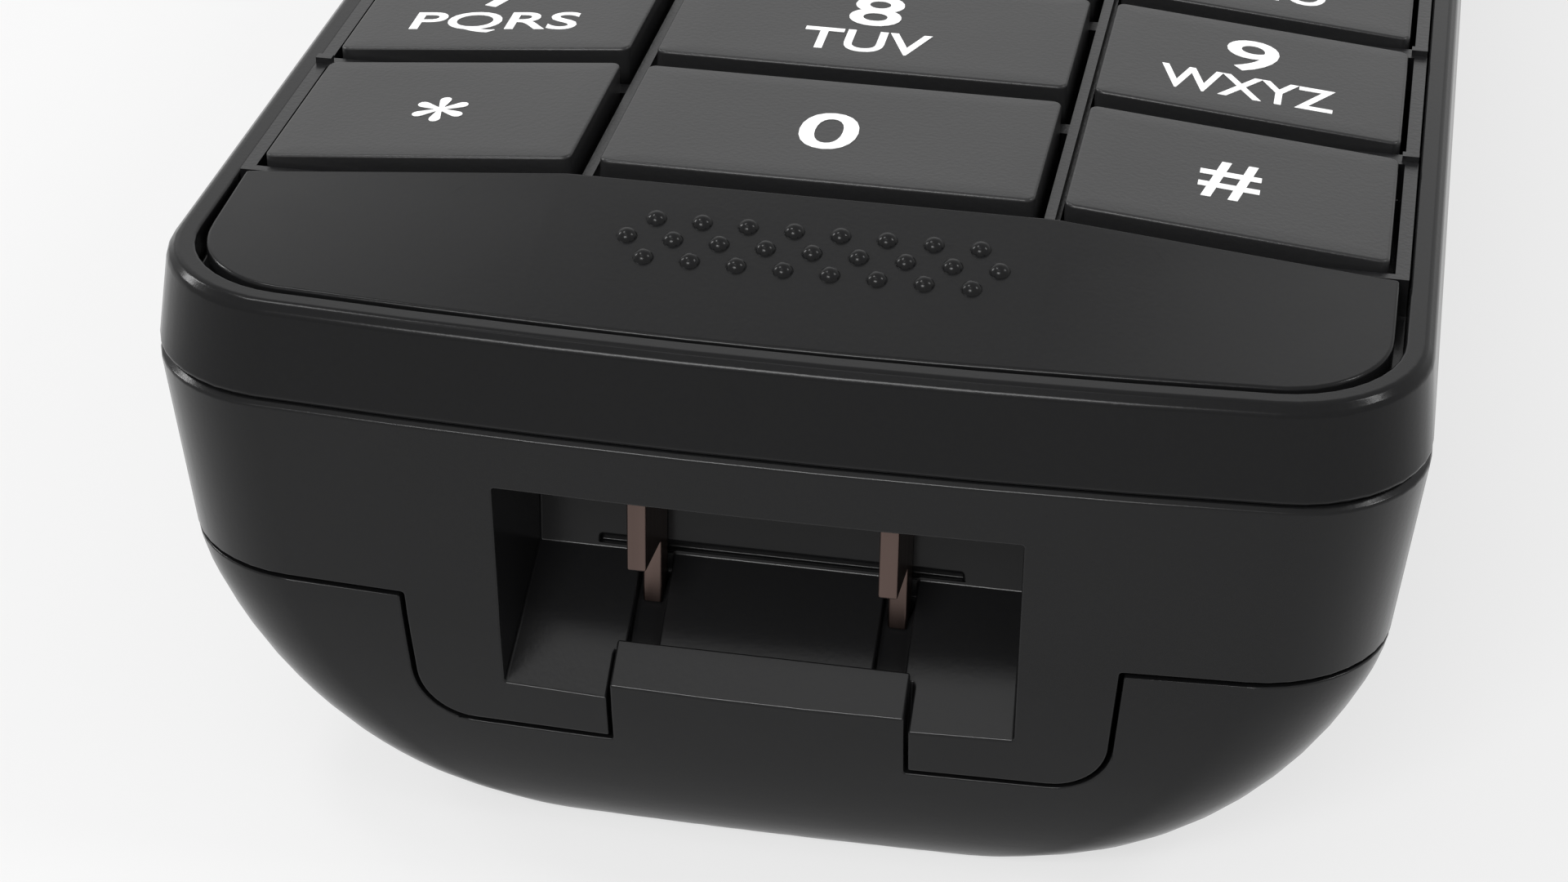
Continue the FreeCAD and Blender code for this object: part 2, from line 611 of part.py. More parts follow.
def contact_points(grow):
    """Side view of a charging contact: a blade with a notched front that ends in the floor groove."""
    front = from_end(f"contact_front - {grow}")
    rear = from_end("recess_depth - contact_fit")
    middle = from_end(f"contact_front + contact_step - {grow}")
    tip = below_keys(f"contact_tip_drop + {grow}")
    groove = f"({RECESS_BACK_Z} - contact_root - {grow})"
    return ((front, tip), (middle, f"{tip} - contact_lip"), (middle, groove),
            (rear, f"{groove} + contact_heel"), (rear, CONTACT_TOP), (front, CONTACT_TOP))


def contact_body(name, side, grow):
    at = (f"{side} * contact_spacing / 2", "0", "0")
    return padded(name, "YZ_Plane", contact_points(grow), f"contact_thickness + 2 * {grow}", at)


def floor_groove(name, side):
    """A groove in the recess floor, below a contact."""
    def floor(place):
        return f"({RECESS_BACK_Z} - groove_depth - (recess_depth - ({place})) * recess_floor_slope)"
    start, top = f"-{MARGIN}", f"{RECESS_Z} - 2 * {MARGIN}"
    points = ((from_end(start), floor(start)), (from_end("recess_depth"), floor("recess_depth")),
              (from_end("recess_depth"), top), (from_end(start), top))
    return padded(name, "YZ_Plane", points, "groove_width", (f"{side} * contact_spacing / 2", "0", "0"))


contacts = {"charge_contact_left": contact_body("contact_left", -1, "0"),
            "charge_contact_right": contact_body("contact_right", 1, "0")}
contact_slots = [contact_body("contact_slot_left", -1, "contact_fit"),
                 contact_body("contact_slot_right", 1, "contact_fit")]
grooves = [floor_groove("groove_left", -1), floor_groove("groove_right", 1)]
back_groove_floor = f"{RECESS_BACK_Z} + back_groove_rise"
back_groove = block("back_groove", ("-back_groove_width / 2", "back_groove_width / 2"),
                    (from_end(f"recess_depth - {MARGIN}"), from_end("recess_depth + back_groove_depth")),
                    (back_groove_floor, f"{back_groove_floor} + back_groove_height"))


# ---------------------------------------------------------------- rear shell and battery cover

def screw_places():
    """Places of the four case screws."""
    upper_row = f"{FUNCTION_ROW} + upper_screw_step"
    for row, offset in (("lower_screw_row", "lower_screw_offset"), (upper_row, "upper_screw_offset")):
        for side in (-1, 1):
            yield f"{side} * {offset}", from_end(row)


def battery_tray():
    """The floor between the cells and the board, with the walls around the cells."""
    edge = f"({COVER_HALF} - wall * 0.5)"
    floor = block("tray_floor", (f"-{edge}", edge), (from_end("wall * 0.5"), from_end("cover_length + 2")),
                  (TRAY_Z, TRAY_TOP))
    half = "(2 * cell_radius + 1.5 * cell_gap)"
    low, high = "cell_start - cell_gap - bay_end_room", "cell_start + cell_length + cell_gap + bay_end_room"
    outside = block("bay_outside", (f"-({half} + bay_wall)", f"{half} + bay_wall"),
                    (from_end(f"{low} - bay_wall"), from_end(f"{high} + bay_wall")),
                    ("wall + bay_foot", TRAY_TOP))
    inside = block("bay_inside", (f"-{half}", half), (from_end(low), from_end(high)), ("0", TRAY_Z))
    walls = cut("bay_walls", outside, inside)
    return fuse("tray", floor, walls)


def speaker_slots():
    """Slots across a circle, each as long as the circle is wide there."""
    slots = []
    for index in range(SPEAKER_SLOTS):
        place = SPEAKER_SLOT_SPREAD * (index - (SPEAKER_SLOTS - 1) / 2)
        reach = 1.5 * math.sqrt(1 - place ** 2)
        slots.append(plate(f"speaker_slot{index}", f"{reach:.3f} * speaker_radius", "speaker_slot_width",
                           (f"-{MARGIN}", "3 * wall"), "speaker_slot_corner", None,
                           ("0", from_end(f"speaker_row + {place:.2f} * speaker_radius"))))
    return slots


def rear_shell():
    above_joint = block("above_joint", (f"-{FAR}", FAR), (f"-{FAR}", FAR), (COVER_Z, DECK_Z))
    beyond_cover = block("beyond_cover", (f"-{FAR}", FAR), (from_end("cover_length"), FAR),
                         (f"-{MARGIN}", DECK_Z))
    zone = fuse("rear_zone", above_joint, beyond_cover, leg_block)
    skin_low = cut("rear_low", common("rear_low_zone", outer_belly, zone),
                   cut("rear_cavity_low", inner_belly, leg_block))
    skin_high = cut("rear_high", outer_upper, cut("rear_cavity_high", inner_upper, leg_block))
    rebate = common("cover_stop", cut("stop_ring", outer_belly, inner_belly),
                    block("stop_place", (f"-{FAR}", FAR),
                          (from_end("cover_length"), from_end("cover_length + wall")), ("0", COVER_Z)))
    body = fuse("rear_blank", skin_low, skin_high, rebate,
                common("tray_in_case", battery_tray(), fuse("case_volume", outer_belly, outer_upper)))
    holes = [rod(f"screw_hole{index}", "screw_radius + screw_clearance", x, y,
                 (f"{TRAY_Z} - {MARGIN}", f"{TRAY_TOP} + {MARGIN}"))
             for index, (x, y) in enumerate(screw_places())]
    return cut("rear_shell", body, recess, tongue_slot, back_groove, *contact_slots, *grooves, *holes,
               *speaker_slots())


def battery_cover():
    zone = block("cover_zone", (f"-{FAR}", FAR), (f"-{FAR}", from_end("cover_length - cover_gap")),
                 (f"-{MARGIN}", f"{COVER_Z} - cover_gap"))
    skin = cut("cover_skin", common("cover_blank", outer_belly, zone), inner_belly, leg_block_gap)
    tongue = common("tongue_in_case", tongue_blank, fuse("tongue_volume", outer_belly, outer_upper))
    thin = cut("tongue", tongue, front_slope("tongue_rise - wall * 1.2", "wall", "tongue_start + 1",
                                             "tongue_hollow", "tongue_width / 2 - wall"))
    blank = fuse("cover_with_tongue", skin, thin)
    grooves_across = []
    for index in range(GRIP_GROOVES):
        start = f"grip_start + {index} * grip_pitch"
        grooves_across.append(block(f"grip_groove{index}", ("-grip_width / 2", "grip_width / 2"),
                                    (from_end(start), from_end(f"{start} + grip_groove")),
                                    (f"-{MARGIN}", "grip_depth")))
    return cut("battery_cover", blank, *grooves_across)


# ---------------------------------------------------------------- front shell, web and panels

def key_hole(name, column, row, grow, z):
    """The straight sided volume of a number key, grown by a clearance."""
    inner, outer = (("-middle_key_width / 2", "middle_key_width / 2") if column == 1 else
                    (KEY_INNER, KEY_OUTER) if column == 2 else (f"-{KEY_OUTER}", f"-{KEY_INNER}"))
    start = f"keypad_start + {row} * row_pitch"
    return block(name, (f"{inner} - {grow}", f"{outer} + {grow}"),
                 (from_end(f"{start} - {grow}"), from_end(f"{start} + {KEY_LENGTH} + {grow}")), z)


def control_places():
    """Name, width, length, corner, place across and place along of each control key."""
    for index, name in enumerate(FUNCTION_KEYS):
        yield (name, "function_key_width", "function_key_length", "function_key_corner",
               f"{index - 1} * function_key_spacing", FUNCTION_ROW)
    for side, name in ((-1, "key_talk"), (1, "key_off")):
        yield (name, "call_key_width", "call_key_length", "call_key_corner",
               f"{side} * call_key_offset", NAVIGATOR_ROW)
    for side, name in ((-1, "key_soft_left"), (1, "key_soft_right")):
        yield (name, "soft_key_width", "soft_key_length", "soft_key_corner",
               f"{side} * soft_key_offset", SOFT_KEY_ROW)
    yield "navigator", "navigator_size", "navigator_size", "navigator_corner", "0", NAVIGATOR_ROW


def control_holes(stem):
    return [plate(f"{stem}_{name}", f"{width} + 2 * control_clearance", f"{length} + 2 * control_clearance",
                  (DECK_CUT[0], PANEL_CUT[1]), f"{corner} + control_clearance", None, (x, from_end(y)))
            for name, width, length, corner, x, y in control_places()]


def number_holes(stem, z):
    return [key_hole(f"{stem}_{KEY_NAMES[row][column]}", column, row, "key_clearance", z)
            for row in range(ROWS) for column in range(3)]


def front_shell():
    sections = []
    for index, (back, height) in enumerate((("edge_break", SPLIT_Z), ("0", f"{SPLIT_Z} + edge_break"))):
        sections.append(outline(f"front_low{index}", f"{HALF} - {back}", back, back, "corner_radius",
                                height))
    sections.append(outline("front_high", RIM_HALF, "rim_lean_end", "rim_lean_end", RIM_CORNER,
                            f"{RIM_Z} - rim_bevel"))
    sections.append(outline("front_rim", f"{RIM_HALF} - rim_bevel", "rim_lean_end + rim_bevel",
                            "rim_lean_end + rim_bevel", f"{RIM_CORNER} - rim_bevel", RIM_Z))
    outside = loft("front_outside", sections, True)
    opening = loft("front_opening", [
        outline(f"opening{index}", OPENING_HALF, RIM_END, RIM_END, f"{RIM_CORNER} - rim_width", height)
        for index, height in enumerate((DECK_Z, f"{RIM_Z} + {MARGIN}"))], True)
    cavity = loft("front_cavity", [
        outline(f"front_cavity{index}", f"{HALF} - wall", "wall", "wall", INNER_CORNER, height)
        for index, height in enumerate((f"{SPLIT_Z} - {MARGIN}", DECK_UNDER))], True)
    window = plate("deck_window", "window_width + 2 * deck_window_margin",
                   "window_length + 2 * deck_window_margin", DECK_CUT, "deck_window_margin", None,
                   ("0", from_end(WINDOW_ROW)))
    ear = rod("deck_ear_hole", "receiver_radius - ear_hole_inset", "0", from_end(GRILLE_ROW), DECK_CUT)
    mouth = rod("deck_mic_hole", "microphone_radius - mic_hole_inset", "dome_offset",
                from_end("microphone_row"), DECK_CUT)
    tray = cut("front_tray", outside, opening, cavity, window, ear, mouth,
               *number_holes("deck", DECK_CUT), *control_holes("deck"))
    bosses = [rod(f"boss{index}", "boss_radius", x, y, (f"{TRAY_TOP} + boss_fit", DECK_UNDER))
              for index, (x, y) in enumerate(screw_places())]
    pilots = [rod(f"pilot{index}", "screw_radius + pilot_clearance", x, y,
                  (TRAY_TOP, f"{DECK_UNDER} - deck_thickness / 2"))
              for index, (x, y) in enumerate(screw_places())]
    return cut("front_shell", fuse("front_blank", tray, *bosses), *pilots)


def panel_outline(name):
    """The volume inside the rim, a gap away from it."""
    return loft(name, [
        outline(f"{name}{index}", f"{OPENING_HALF} - panel_gap", f"{RIM_END} + panel_gap",
                f"{RIM_END} + panel_gap", f"{RIM_CORNER} - rim_width - panel_gap", height)
        for index, height in enumerate((DECK_Z, f"body_depth + {MARGIN}"))], True)


def keypad_web():
    start = "keypad_start - panel_seam / 2 - web_overlap"
    end = f"{KEYPAD_END} + panel_seam / 2 + web_overlap"
    half = f"{OPENING_HALF} - web_fit"
    rib_z = f"{WEB_Z} + rib_height"
    sheet_part = block("web_sheet", (f"-({half})", half), (from_end(start), from_end(end)), (DECK_Z, WEB_Z))
    ribs = []
    for side in (-1, 1):
        middle = f"{side} * (middle_key_width / 2 + column_gap / 2)"
        ribs.append(block(f"web_rib{side + 1}", (f"{middle} - rib_width / 2", f"{middle} + rib_width / 2"),
                          (from_end("keypad_start"), from_end(KEYPAD_END)), (DECK_Z, rib_z)))
        for row in range(1, ROWS):
            gap = f"(keypad_start + {row} * row_pitch - row_gap / 2)"
            near = f"{KEY_OUTER} + key_clearance / 2"
            reach = (near, half) if side > 0 else (f"-({half})", f"-({near})")
            ribs.append(block(f"web_nub{side + 1}_{row}", reach,
                              (from_end(f"{gap} - rib_width / 2"), from_end(f"{gap} + rib_width / 2")),
                              (DECK_Z, f"{rib_z} - nub_drop")))
    return cut("keypad_web", fuse("web_blank", sheet_part, *ribs),
               *number_holes("web", (f"{DECK_Z} - {MARGIN}", f"{rib_z} + {MARGIN}")))


def mic_panel():
    """The panel below the keys: creased like the keys along its upper edge, level along its lower edge."""
    upper, lower = "(keypad_start - panel_seam)", f"({RIM_END} + panel_gap)"
    upper_z, lower_z = below_keys("mic_panel_drop"), below_keys("rim_drop + mic_panel_sink")
    fall = f"({upper_z} - ({OPENING_HALF} - crease_offset) * {CROWN_SLOPE})"
    half = OPENING_HALF

    def section(name, middle, side, place):
        points = ((f"-{half}", DECK_Z), (half, DECK_Z), (half, side), ("crease_offset", middle),
                  ("-crease_offset", middle), (f"-{half}", side))
        return upright_polygon(name, points, place)

    blank = common("mic_blank", panel_outline("mic_outline"),
                   loft("mic_crown", [section("mic_upper", upper_z, fall, upper),
                                      section("mic_lower", lower_z, lower_z, lower)], True))
    domes = []
    for row, count in enumerate(DOME_COUNTS):
        place = f"(dome_row_start + {row} * dome_row_pitch)"
        height = f"({lower_z} + ({place} - {lower}) * ({upper_z} - {lower_z}) / ({upper} - {lower}))"
        for index in range(count):
            dome = doc.addObject("Part::Sphere", f"dome{row}_{index}")
            bind(dome, "Radius", "dome_radius")
            bind(dome, "Placement.Base.x", f"dome_offset + {index - (count - 1) / 2} * dome_pitch")
            bind(dome, "Placement.Base.y", from_end(place))
            bind(dome, "Placement.Base.z", f"{height} - dome_radius * dome_sink")
            domes.append(dome)
    return fuse("mic_panel", blank, *domes)


def faceplate():
    start = f"{KEYPAD_END} + panel_seam"
    blank = common("face_blank", panel_outline("face_outline"),
                   crown("face_crown", "faceplate_drop", OPENING_HALF, start, f"body_length + {MARGIN}"))
    window = plate("face_window", "window_width", "window_length", PANEL_CUT, "window_corner", None,
                   ("0", from_end(WINDOW_ROW)))
    seat = plate("lens_seat", "lens_width + 2 * lens_clearance", "lens_length + 2 * lens_clearance",
                 (f"{FACE_Z} - lens_thickness", PANEL_CUT[1]), "lens_corner + lens_clearance", None,
                 ("0", from_end(WINDOW_ROW)))
    slot = plate("ear_slot", "grille_width + 2 * insert_fit", "grille_length + 2 * insert_fit", PANEL_CUT,
                 "grille_corner + insert_fit", None, ("0", from_end(GRILLE_ROW)))
    lamp = plate("lamp_slot", "lamp_width + 2 * insert_fit", "lamp_length + 2 * insert_fit", PANEL_CUT,
                 "lamp_corner + insert_fit", None, ("0", from_end(LAMP_ROW)))
    return cut("faceplate", blank, window, seat, slot, lamp, *control_holes("face"))


def display_lens():
    body = plate("lens_blank", "lens_width", "lens_length", (f"{FACE_Z} - lens_thickness", PANEL_CUT[1]),
                 "lens_corner", None, ("0", from_end(WINDOW_ROW)))
    top = crown("lens_crown", "faceplate_drop + lens_sink", OPENING_HALF, f"{WINDOW_ROW} - lens_length",
                f"{WINDOW_ROW} + lens_length")
    return common("display_lens", body, top)


def earpiece_grille():
    body = plate("grille_blank", "grille_width", "grille_length", (DECK_Z, f"{FACE_Z} - grille_sink"),
                 "grille_corner", None, ("0", from_end(GRILLE_ROW)))
    slots = []
    for index in range(GRILLE_SLOTS):
        place = f"{index - (GRILLE_SLOTS - 1) / 2} * grille_slot_pitch"
        slots.append(plate(f"grille_slot{index}", "grille_slot_width", "grille_length - 2 * grille_border",
                           PANEL_CUT, "0.4 * grille_slot_width", None, (place, from_end(GRILLE_ROW))))
    return cut("earpiece_grille", body, *slots)


# ---------------------------------------------------------------- keys

def number_key(name, column, row):
    """A number key: a pad of its cross-section, with a foot that stands out along the handset."""
    if column == 1:
        inner, outer = "-middle_key_width / 2", "middle_key_width / 2"
        profile = ((inner, KEY_FOOT_Z), (outer, KEY_FOOT_Z), (outer, "body_depth"), (inner, "body_depth"))
    else:
        side = 1 if column == 2 else -1
        inner, outer = f"{side} * {KEY_INNER}", f"{side} * {KEY_OUTER}"
        near = below_keys(f"({KEY_INNER} - crease_offset) * {CROWN_SLOPE}")
        profile = ((inner, KEY_FOOT_Z), (outer, KEY_FOOT_Z), (outer, below_keys("crown_fall")),
                   (inner, near))
    foot_top = f"({DECK_UNDER} - foot_play)"
    foot = ((inner, KEY_FOOT_Z), (outer, KEY_FOOT_Z), (outer, foot_top), (inner, foot_top))
    middle = from_end(f"keypad_start + {row} * row_pitch + {KEY_LENGTH} / 2")
    body = doc.addObject("PartDesign::Body", name)
    foot_sketch = polygon(body, "XZ_Plane", foot, f"{name}_foot")
    pad(body, foot_sketch, f"{KEY_LENGTH} + 2 * key_foot", f"{name}_foot_pad")
    pad(body, polygon(body, "XZ_Plane", profile, f"{name}_profile"), KEY_LENGTH, f"{name}_pad")
    bind(body, "Placement.Base.y", middle)
    level = value(f"{DECK_UNDER} - foot_play / 2")
    round_edges(body, "key_corner", lambda edge: is_upright(edge) and edge.BoundBox.ZMax > level,
                f"{name}_corners")
    round_edges(body, "key_edge", above(level), f"{name}_edges")
    return body


def control_key(name, width, length, corner, x, y):
    """A control key stands a little above the panel beside it."""
    top = f"({FACE_Z} + control_rise - ({abs(value(x))} - crease_offset) * {CROWN_SLOPE})"
    if value(f"abs({x}) - crease_offset") <= 0:
        top = f"({FACE_Z} + control_rise)"
    return plate(name, width, length, (KEY_FOOT_Z, top), corner, "control_edge", (x, from_end(y)))


# ---------------------------------------------------------------- inside

def screws():
    parts = []
    for index, (x, y) in enumerate(screw_places()):
        shank = rod(f"screw_shank{index}", "screw_radius", x, y,
                    (f"{TRAY_Z} - screw_head_height / 2", f"{DECK_UNDER} - deck_thickness"))
        head = rod(f"screw_head{index}", "screw_head_radius", x, y,
                   (f"{TRAY_Z} - screw_head_height", TRAY_Z))
        parts.append(fuse(f"screw{index}", shank, head))
    return fuse("case_screws", *parts)


def boss_notches(stem, z):
    """What makes room for the two upper screw bosses."""
    return [rod(f"{stem}{index}", "boss_radius + boss_clearance", x, y, z)
            for index, (x, y) in enumerate(list(screw_places())[2:])]


def main_board():
    half = "board_width / 2"
    start, end = from_end("board_start"), from_end("board_end")
    board = block("board_blank", (f"-{half}", half), (start, end), (f"{BOARD_Z} - board_thickness", BOARD_Z))
    notches = boss_notches("board_notch",
                           (f"{BOARD_Z} - board_thickness - {MARGIN}", f"{BOARD_Z} + {MARGIN}"))
    return cut("main_board", board, *notches)


def key_mat():
    """The rubber mat under the keys, with a nub below each key."""
    half = f"({KEY_OUTER} - mat_side_inset)"
    base = block("mat_base", (f"-{half}", half),
                 (from_end("board_start + mat_start_inset"), from_end(f"{SOFT_KEY_ROW} + mat_end_step")),
                 (BOARD_Z, MAT_Z))
    nubs = []
    for row in range(ROWS):
        for column in (-1, 0, 1):
            x = f"{column} * ({KEY_INNER} + side_key_width / 2)"
            nubs.append((x, from_end(f"keypad_start + {row} * row_pitch + {KEY_LENGTH} / 2")))
    for name, width, length, corner, x, y in control_places():
        if name != "navigator":
            nubs.append((x, from_end(y)))
    tops = [rod(f"mat_nub{index}", "mat_nub_radius", x, y, (BOARD_Z, f"{MAT_Z} + mat_nub"))
            for index, (x, y) in enumerate(nubs)]
    notches = boss_notches("mat_notch", (f"{BOARD_Z} - {MARGIN}", f"{MAT_Z} + {MARGIN}"))
    return cut("key_mat", fuse("mat_blank", base, *tops), *notches)


def battery_cell(name, side):
    """A cell with its button."""
    cell = doc.addObject("Part::Cylinder", f"{name}_can")
    bind(cell, "Radius", "cell_radius")
    bind(cell, "Height", "cell_length - cell_button")
    button = doc.addObject("Part::Cylinder", f"{name}_button")
    bind(button, "Radius", "cell_radius * cell_button_share")
    bind(button, "Height", "cell_length")
    for part in (cell, button):
        part.Placement = FreeCAD.Placement(FreeCAD.Vector(), FreeCAD.Rotation(FreeCAD.Vector(1, 0, 0), -90))
        bind(part, "Placement.Base.x", f"{side} * (cell_radius + cell_gap / 2)")
        bind(part, "Placement.Base.y", from_end("cell_start"))
        bind(part, "Placement.Base.z", CELL_Z)
    return fuse(name, cell, button)


def battery_contacts(name, place):
    """Two spring leaves in one end of the battery bay."""
    leaves = []
    for side in (-1, 1):
        middle = f"{side} * (cell_radius + cell_gap / 2)"
        leaves.append(block(f"{name}_leaf{side + 1}",
                            (f"{middle} - leaf_width / 2", f"{middle} + leaf_width / 2"),
                            (from_end(place), from_end(f"{place} + leaf_thickness")),
                            (f"{CELL_Z} - leaf_width / 2", TRAY_Z)))
    return fuse(name, *leaves)


def ring(name, outer, inner, x, y, z):
    return cut(name, rod(f"{name}_outer", outer, x, y, z), rod(f"{name}_inner", inner, x, y, z))


def insides():
    """The pieces that the case holds, by node name."""
    display = from_end(WINDOW_ROW)
    ear = from_end(GRILLE_ROW)
    speaker = from_end("speaker_row")
    mic = from_end("microphone_row")
    board_under = f"{BOARD_Z} - board_thickness"
    glass_z = (f"{BOARD_Z} + guide_thickness", f"{DECK_UNDER} - display_fit")
    gasket_z = f"{DECK_UNDER} - receiver_gasket_height"
    speaker_z = "wall + speaker_rise"
    speaker_low = f"{speaker_z} + speaker_gasket_height"
    mic_z = (f"{DECK_UNDER} - microphone_height", DECK_UNDER)
    pieces = {
        "main_board": main_board(),
        "key_mat": key_mat(),
        "case_screws": screws(),
        "battery_cell_left": battery_cell("battery_cell_left", -1),
        "battery_cell_right": battery_cell("battery_cell_right", 1),
        "battery_contact_lower": battery_contacts("battery_contact_lower",
                                                  "cell_start - cell_gap - leaf_room"),
        "battery_contact_upper": battery_contacts("battery_contact_upper",
                                                  "cell_start + cell_length + cell_gap + leaf_thickness"),
        "lcd_module": plate("lcd_module", "lens_width", "lens_length - 2 * display_inset", glass_z, "0.5",
                            None, ("0", display)),
        "light_guide": plate("light_guide", "window_width + 2 * deck_window_margin",
                             "window_length + 2 * deck_window_margin", (BOARD_Z, glass_z[0]), "0.5", None,
                             ("0", display)),
        "shield_can": plate("shield_can", "shield_width", "shield_length",
                            (f"{board_under} - shield_height", board_under), "1", "0.4",
                            ("0", from_end("shield_row"))),
        "earpiece_receiver": rod("earpiece_receiver", "receiver_radius", "0", ear,
                                 (f"{gasket_z} - receiver_height", gasket_z)),
        "receiver_gasket": ring("receiver_gasket", "receiver_radius",
                                "receiver_radius - receiver_gasket_width", "0", ear, (gasket_z, DECK_UNDER)),
        "microphone": rod("microphone", "microphone_radius", "dome_offset", mic, mic_z),
        "microphone_boot": ring("microphone_boot", "microphone_radius + boot_wall", "microphone_radius",
                                "dome_offset", mic, mic_z),
        "loudspeaker": rod("loudspeaker", "speaker_radius", "0", speaker,
                           (speaker_low, f"{speaker_low} + speaker_height")),
        "speaker_gasket": ring("speaker_gasket", "speaker_radius", "speaker_radius - speaker_gasket_width",
                               "0", speaker, (speaker_z, speaker_low)),
        "antenna": block("antenna", ("-antenna_width / 2", "antenna_width / 2"),
                         (from_end(ANTENNA_START), from_end(f"{ANTENNA_START} + antenna_thickness")),
                         (f"{BOARD_Z} - antenna_height / 2", f"{BOARD_Z} + antenna_height / 2")),
        "message_lamp": plate("message_lamp", "lamp_width", "lamp_length", (DECK_Z, f"{FACE_Z} + lamp_rise"),
                              "lamp_corner", "0.2", ("0", from_end(LAMP_ROW))),
        "earpiece_grille": earpiece_grille(),
        "contact_carrier": block("contact_carrier", ("-carrier_width / 2", "carrier_width / 2"),
                                 (from_end("contact_front"), from_end("recess_depth - carrier_inset")),
                                 (f"{CONTACT_TOP} + carrier_fit", f"{DECK_UNDER} - 2 * carrier_fit")),
    }
    return pieces


# ---------------------------------------------------------------- the whole handset

nodes = {"front_shell": front_shell(), "rear_shell": rear_shell(), "battery_cover": battery_cover(),
         "keypad_web": keypad_web(), "mic_panel": mic_panel(), "faceplate": faceplate(),
         "display_lens": display_lens()}
nodes.update(contacts)
nodes.update(insides())
for row in range(ROWS):
    for column in range(3):
        key = KEY_NAMES[row][column]
        nodes[key] = number_key(key, column, row)
for spec in control_places():
    if spec[0] != "navigator":
        nodes[spec[0]] = control_key(*spec)
select_hole = rod("select_hole", "select_radius + control_clearance", "0", from_end(NAVIGATOR_ROW),
                  (f"{KEY_FOOT_Z} - {MARGIN}", f"body_depth + {MARGIN}"))
navigator_blank = control_key("navigator_blank", "navigator_size", "navigator_size", "navigator_corner",
                              "0", NAVIGATOR_ROW)
nodes["navigator"] = cut("navigator", navigator_blank, select_hole)
nodes["key_select"] = rod("key_select", "select_radius", "0", from_end(NAVIGATOR_ROW),
                          (KEY_FOOT_Z, f"{FACE_Z} + control_rise - select_sink"))

doc.recompute()
failed = [item.Name for item in doc.Objects if {"Invalid", "Error"} & set(item.State)]
if failed:
    raise SystemExit(f"failed objects: {failed}")
os.makedirs("parts", exist_ok=True)
for node, piece in nodes.items():
    piece.Label = node
    if piece.Shape.isNull() or not piece.Shape.isValid():
        raise SystemExit(f"{node} has no valid shape")
    piece.Shape.exportStep(f"parts/{node}.step")
    print(node, len(piece.Shape.Solids), round(piece.Shape.Volume, 1))
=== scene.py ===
"""Looks of a cordless telephone handset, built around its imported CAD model.

Laid out as an add-on and run as a script.  Lengths in the code are metres, and MM turns
millimetres into them.  +X is across the handset, +Y towards the earpiece and +Z out of the keys.
"""

import json
import math

import bmesh
import bpy
import numpy as np
from bpy.props import FloatProperty, FloatVectorProperty, PointerProperty
from mathutils import Matrix, Vector

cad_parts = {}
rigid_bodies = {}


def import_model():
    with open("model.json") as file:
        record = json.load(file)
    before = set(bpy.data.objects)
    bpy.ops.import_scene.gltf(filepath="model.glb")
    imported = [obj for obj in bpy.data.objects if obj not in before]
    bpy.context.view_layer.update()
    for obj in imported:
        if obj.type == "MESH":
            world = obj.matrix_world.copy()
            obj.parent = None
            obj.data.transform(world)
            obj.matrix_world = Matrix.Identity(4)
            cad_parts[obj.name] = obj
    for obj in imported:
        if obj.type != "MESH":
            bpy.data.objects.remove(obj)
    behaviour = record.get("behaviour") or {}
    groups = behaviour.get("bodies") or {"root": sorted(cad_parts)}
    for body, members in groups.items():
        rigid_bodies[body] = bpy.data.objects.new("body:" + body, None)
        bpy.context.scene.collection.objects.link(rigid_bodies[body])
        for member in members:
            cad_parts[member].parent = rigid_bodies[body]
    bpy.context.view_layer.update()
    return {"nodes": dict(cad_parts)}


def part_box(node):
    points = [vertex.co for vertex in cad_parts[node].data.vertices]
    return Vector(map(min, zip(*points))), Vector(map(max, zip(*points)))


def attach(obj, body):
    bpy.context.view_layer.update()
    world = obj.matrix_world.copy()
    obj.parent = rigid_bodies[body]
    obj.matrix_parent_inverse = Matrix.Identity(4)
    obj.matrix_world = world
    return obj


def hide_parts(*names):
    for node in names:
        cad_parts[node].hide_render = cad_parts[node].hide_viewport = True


bl_info = {
    "name": "Cordless Handset",
    "version": (1, 0, 0),
    "blender": (4, 5, 0),
    "location": "View3D > Sidebar > Handset",
    "description": "Keys, legends, finishes and studio for a cordless telephone handset",
    "category": "Object",
}

for leftover in list(bpy.data.objects):
    bpy.data.objects.remove(leftover)

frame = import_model()
NODES = frame["nodes"]

MM = 0.001
KEYS = {
    "key_star": ("*", ""), "key_0": ("0", ""), "key_hash": ("#", ""),
    "key_7": ("7", "PQRS"), "key_8": ("8", "TUV"), "key_9": ("9", "WXYZ"),
    "key_4": ("4", "GHI"), "key_5": ("5", "JKL"), "key_6": ("6", "MNO"),
    "key_1": ("1", ""), "key_2": ("2", "ABC"), "key_3": ("3", "DEF"),
}
CONTROL_KEYS = {  # corner radius in millimetres and legend
    "key_redial": (1.6, "REDIAL"), "key_speaker": (1.6, "SPEAKER"), "key_mute": (1.6, "MUTE"),
    "key_talk": (3.0, "TALK"), "key_off": (3.0, "OFF"),
    "key_soft_left": (2.0, "-"), "key_soft_right": (2.0, "-"),
}
SYMBOLS = {  # width and height of a digit or sign that differs from the other digits
    "1": (0.75 * MM, 3.05 * MM), "*": (2.05 * MM, 2.25 * MM),
    "0": (2.3 * MM, 3.25 * MM), "#": (2.35 * MM, 3.15 * MM),
}
DASH = 2.4 * MM, 0.3 * MM   # width and height of the mark on a soft key
SEGMENTS = (  # name, text, height, place across and place along from the middle of the display
    ("segments_time", "12:45", 6.5, 0, -1.5),
    ("segments_day", "MON 08", 2.2, -8, 8),
    ("segments_bars", "IIII", 2.2, 11, 8),
)
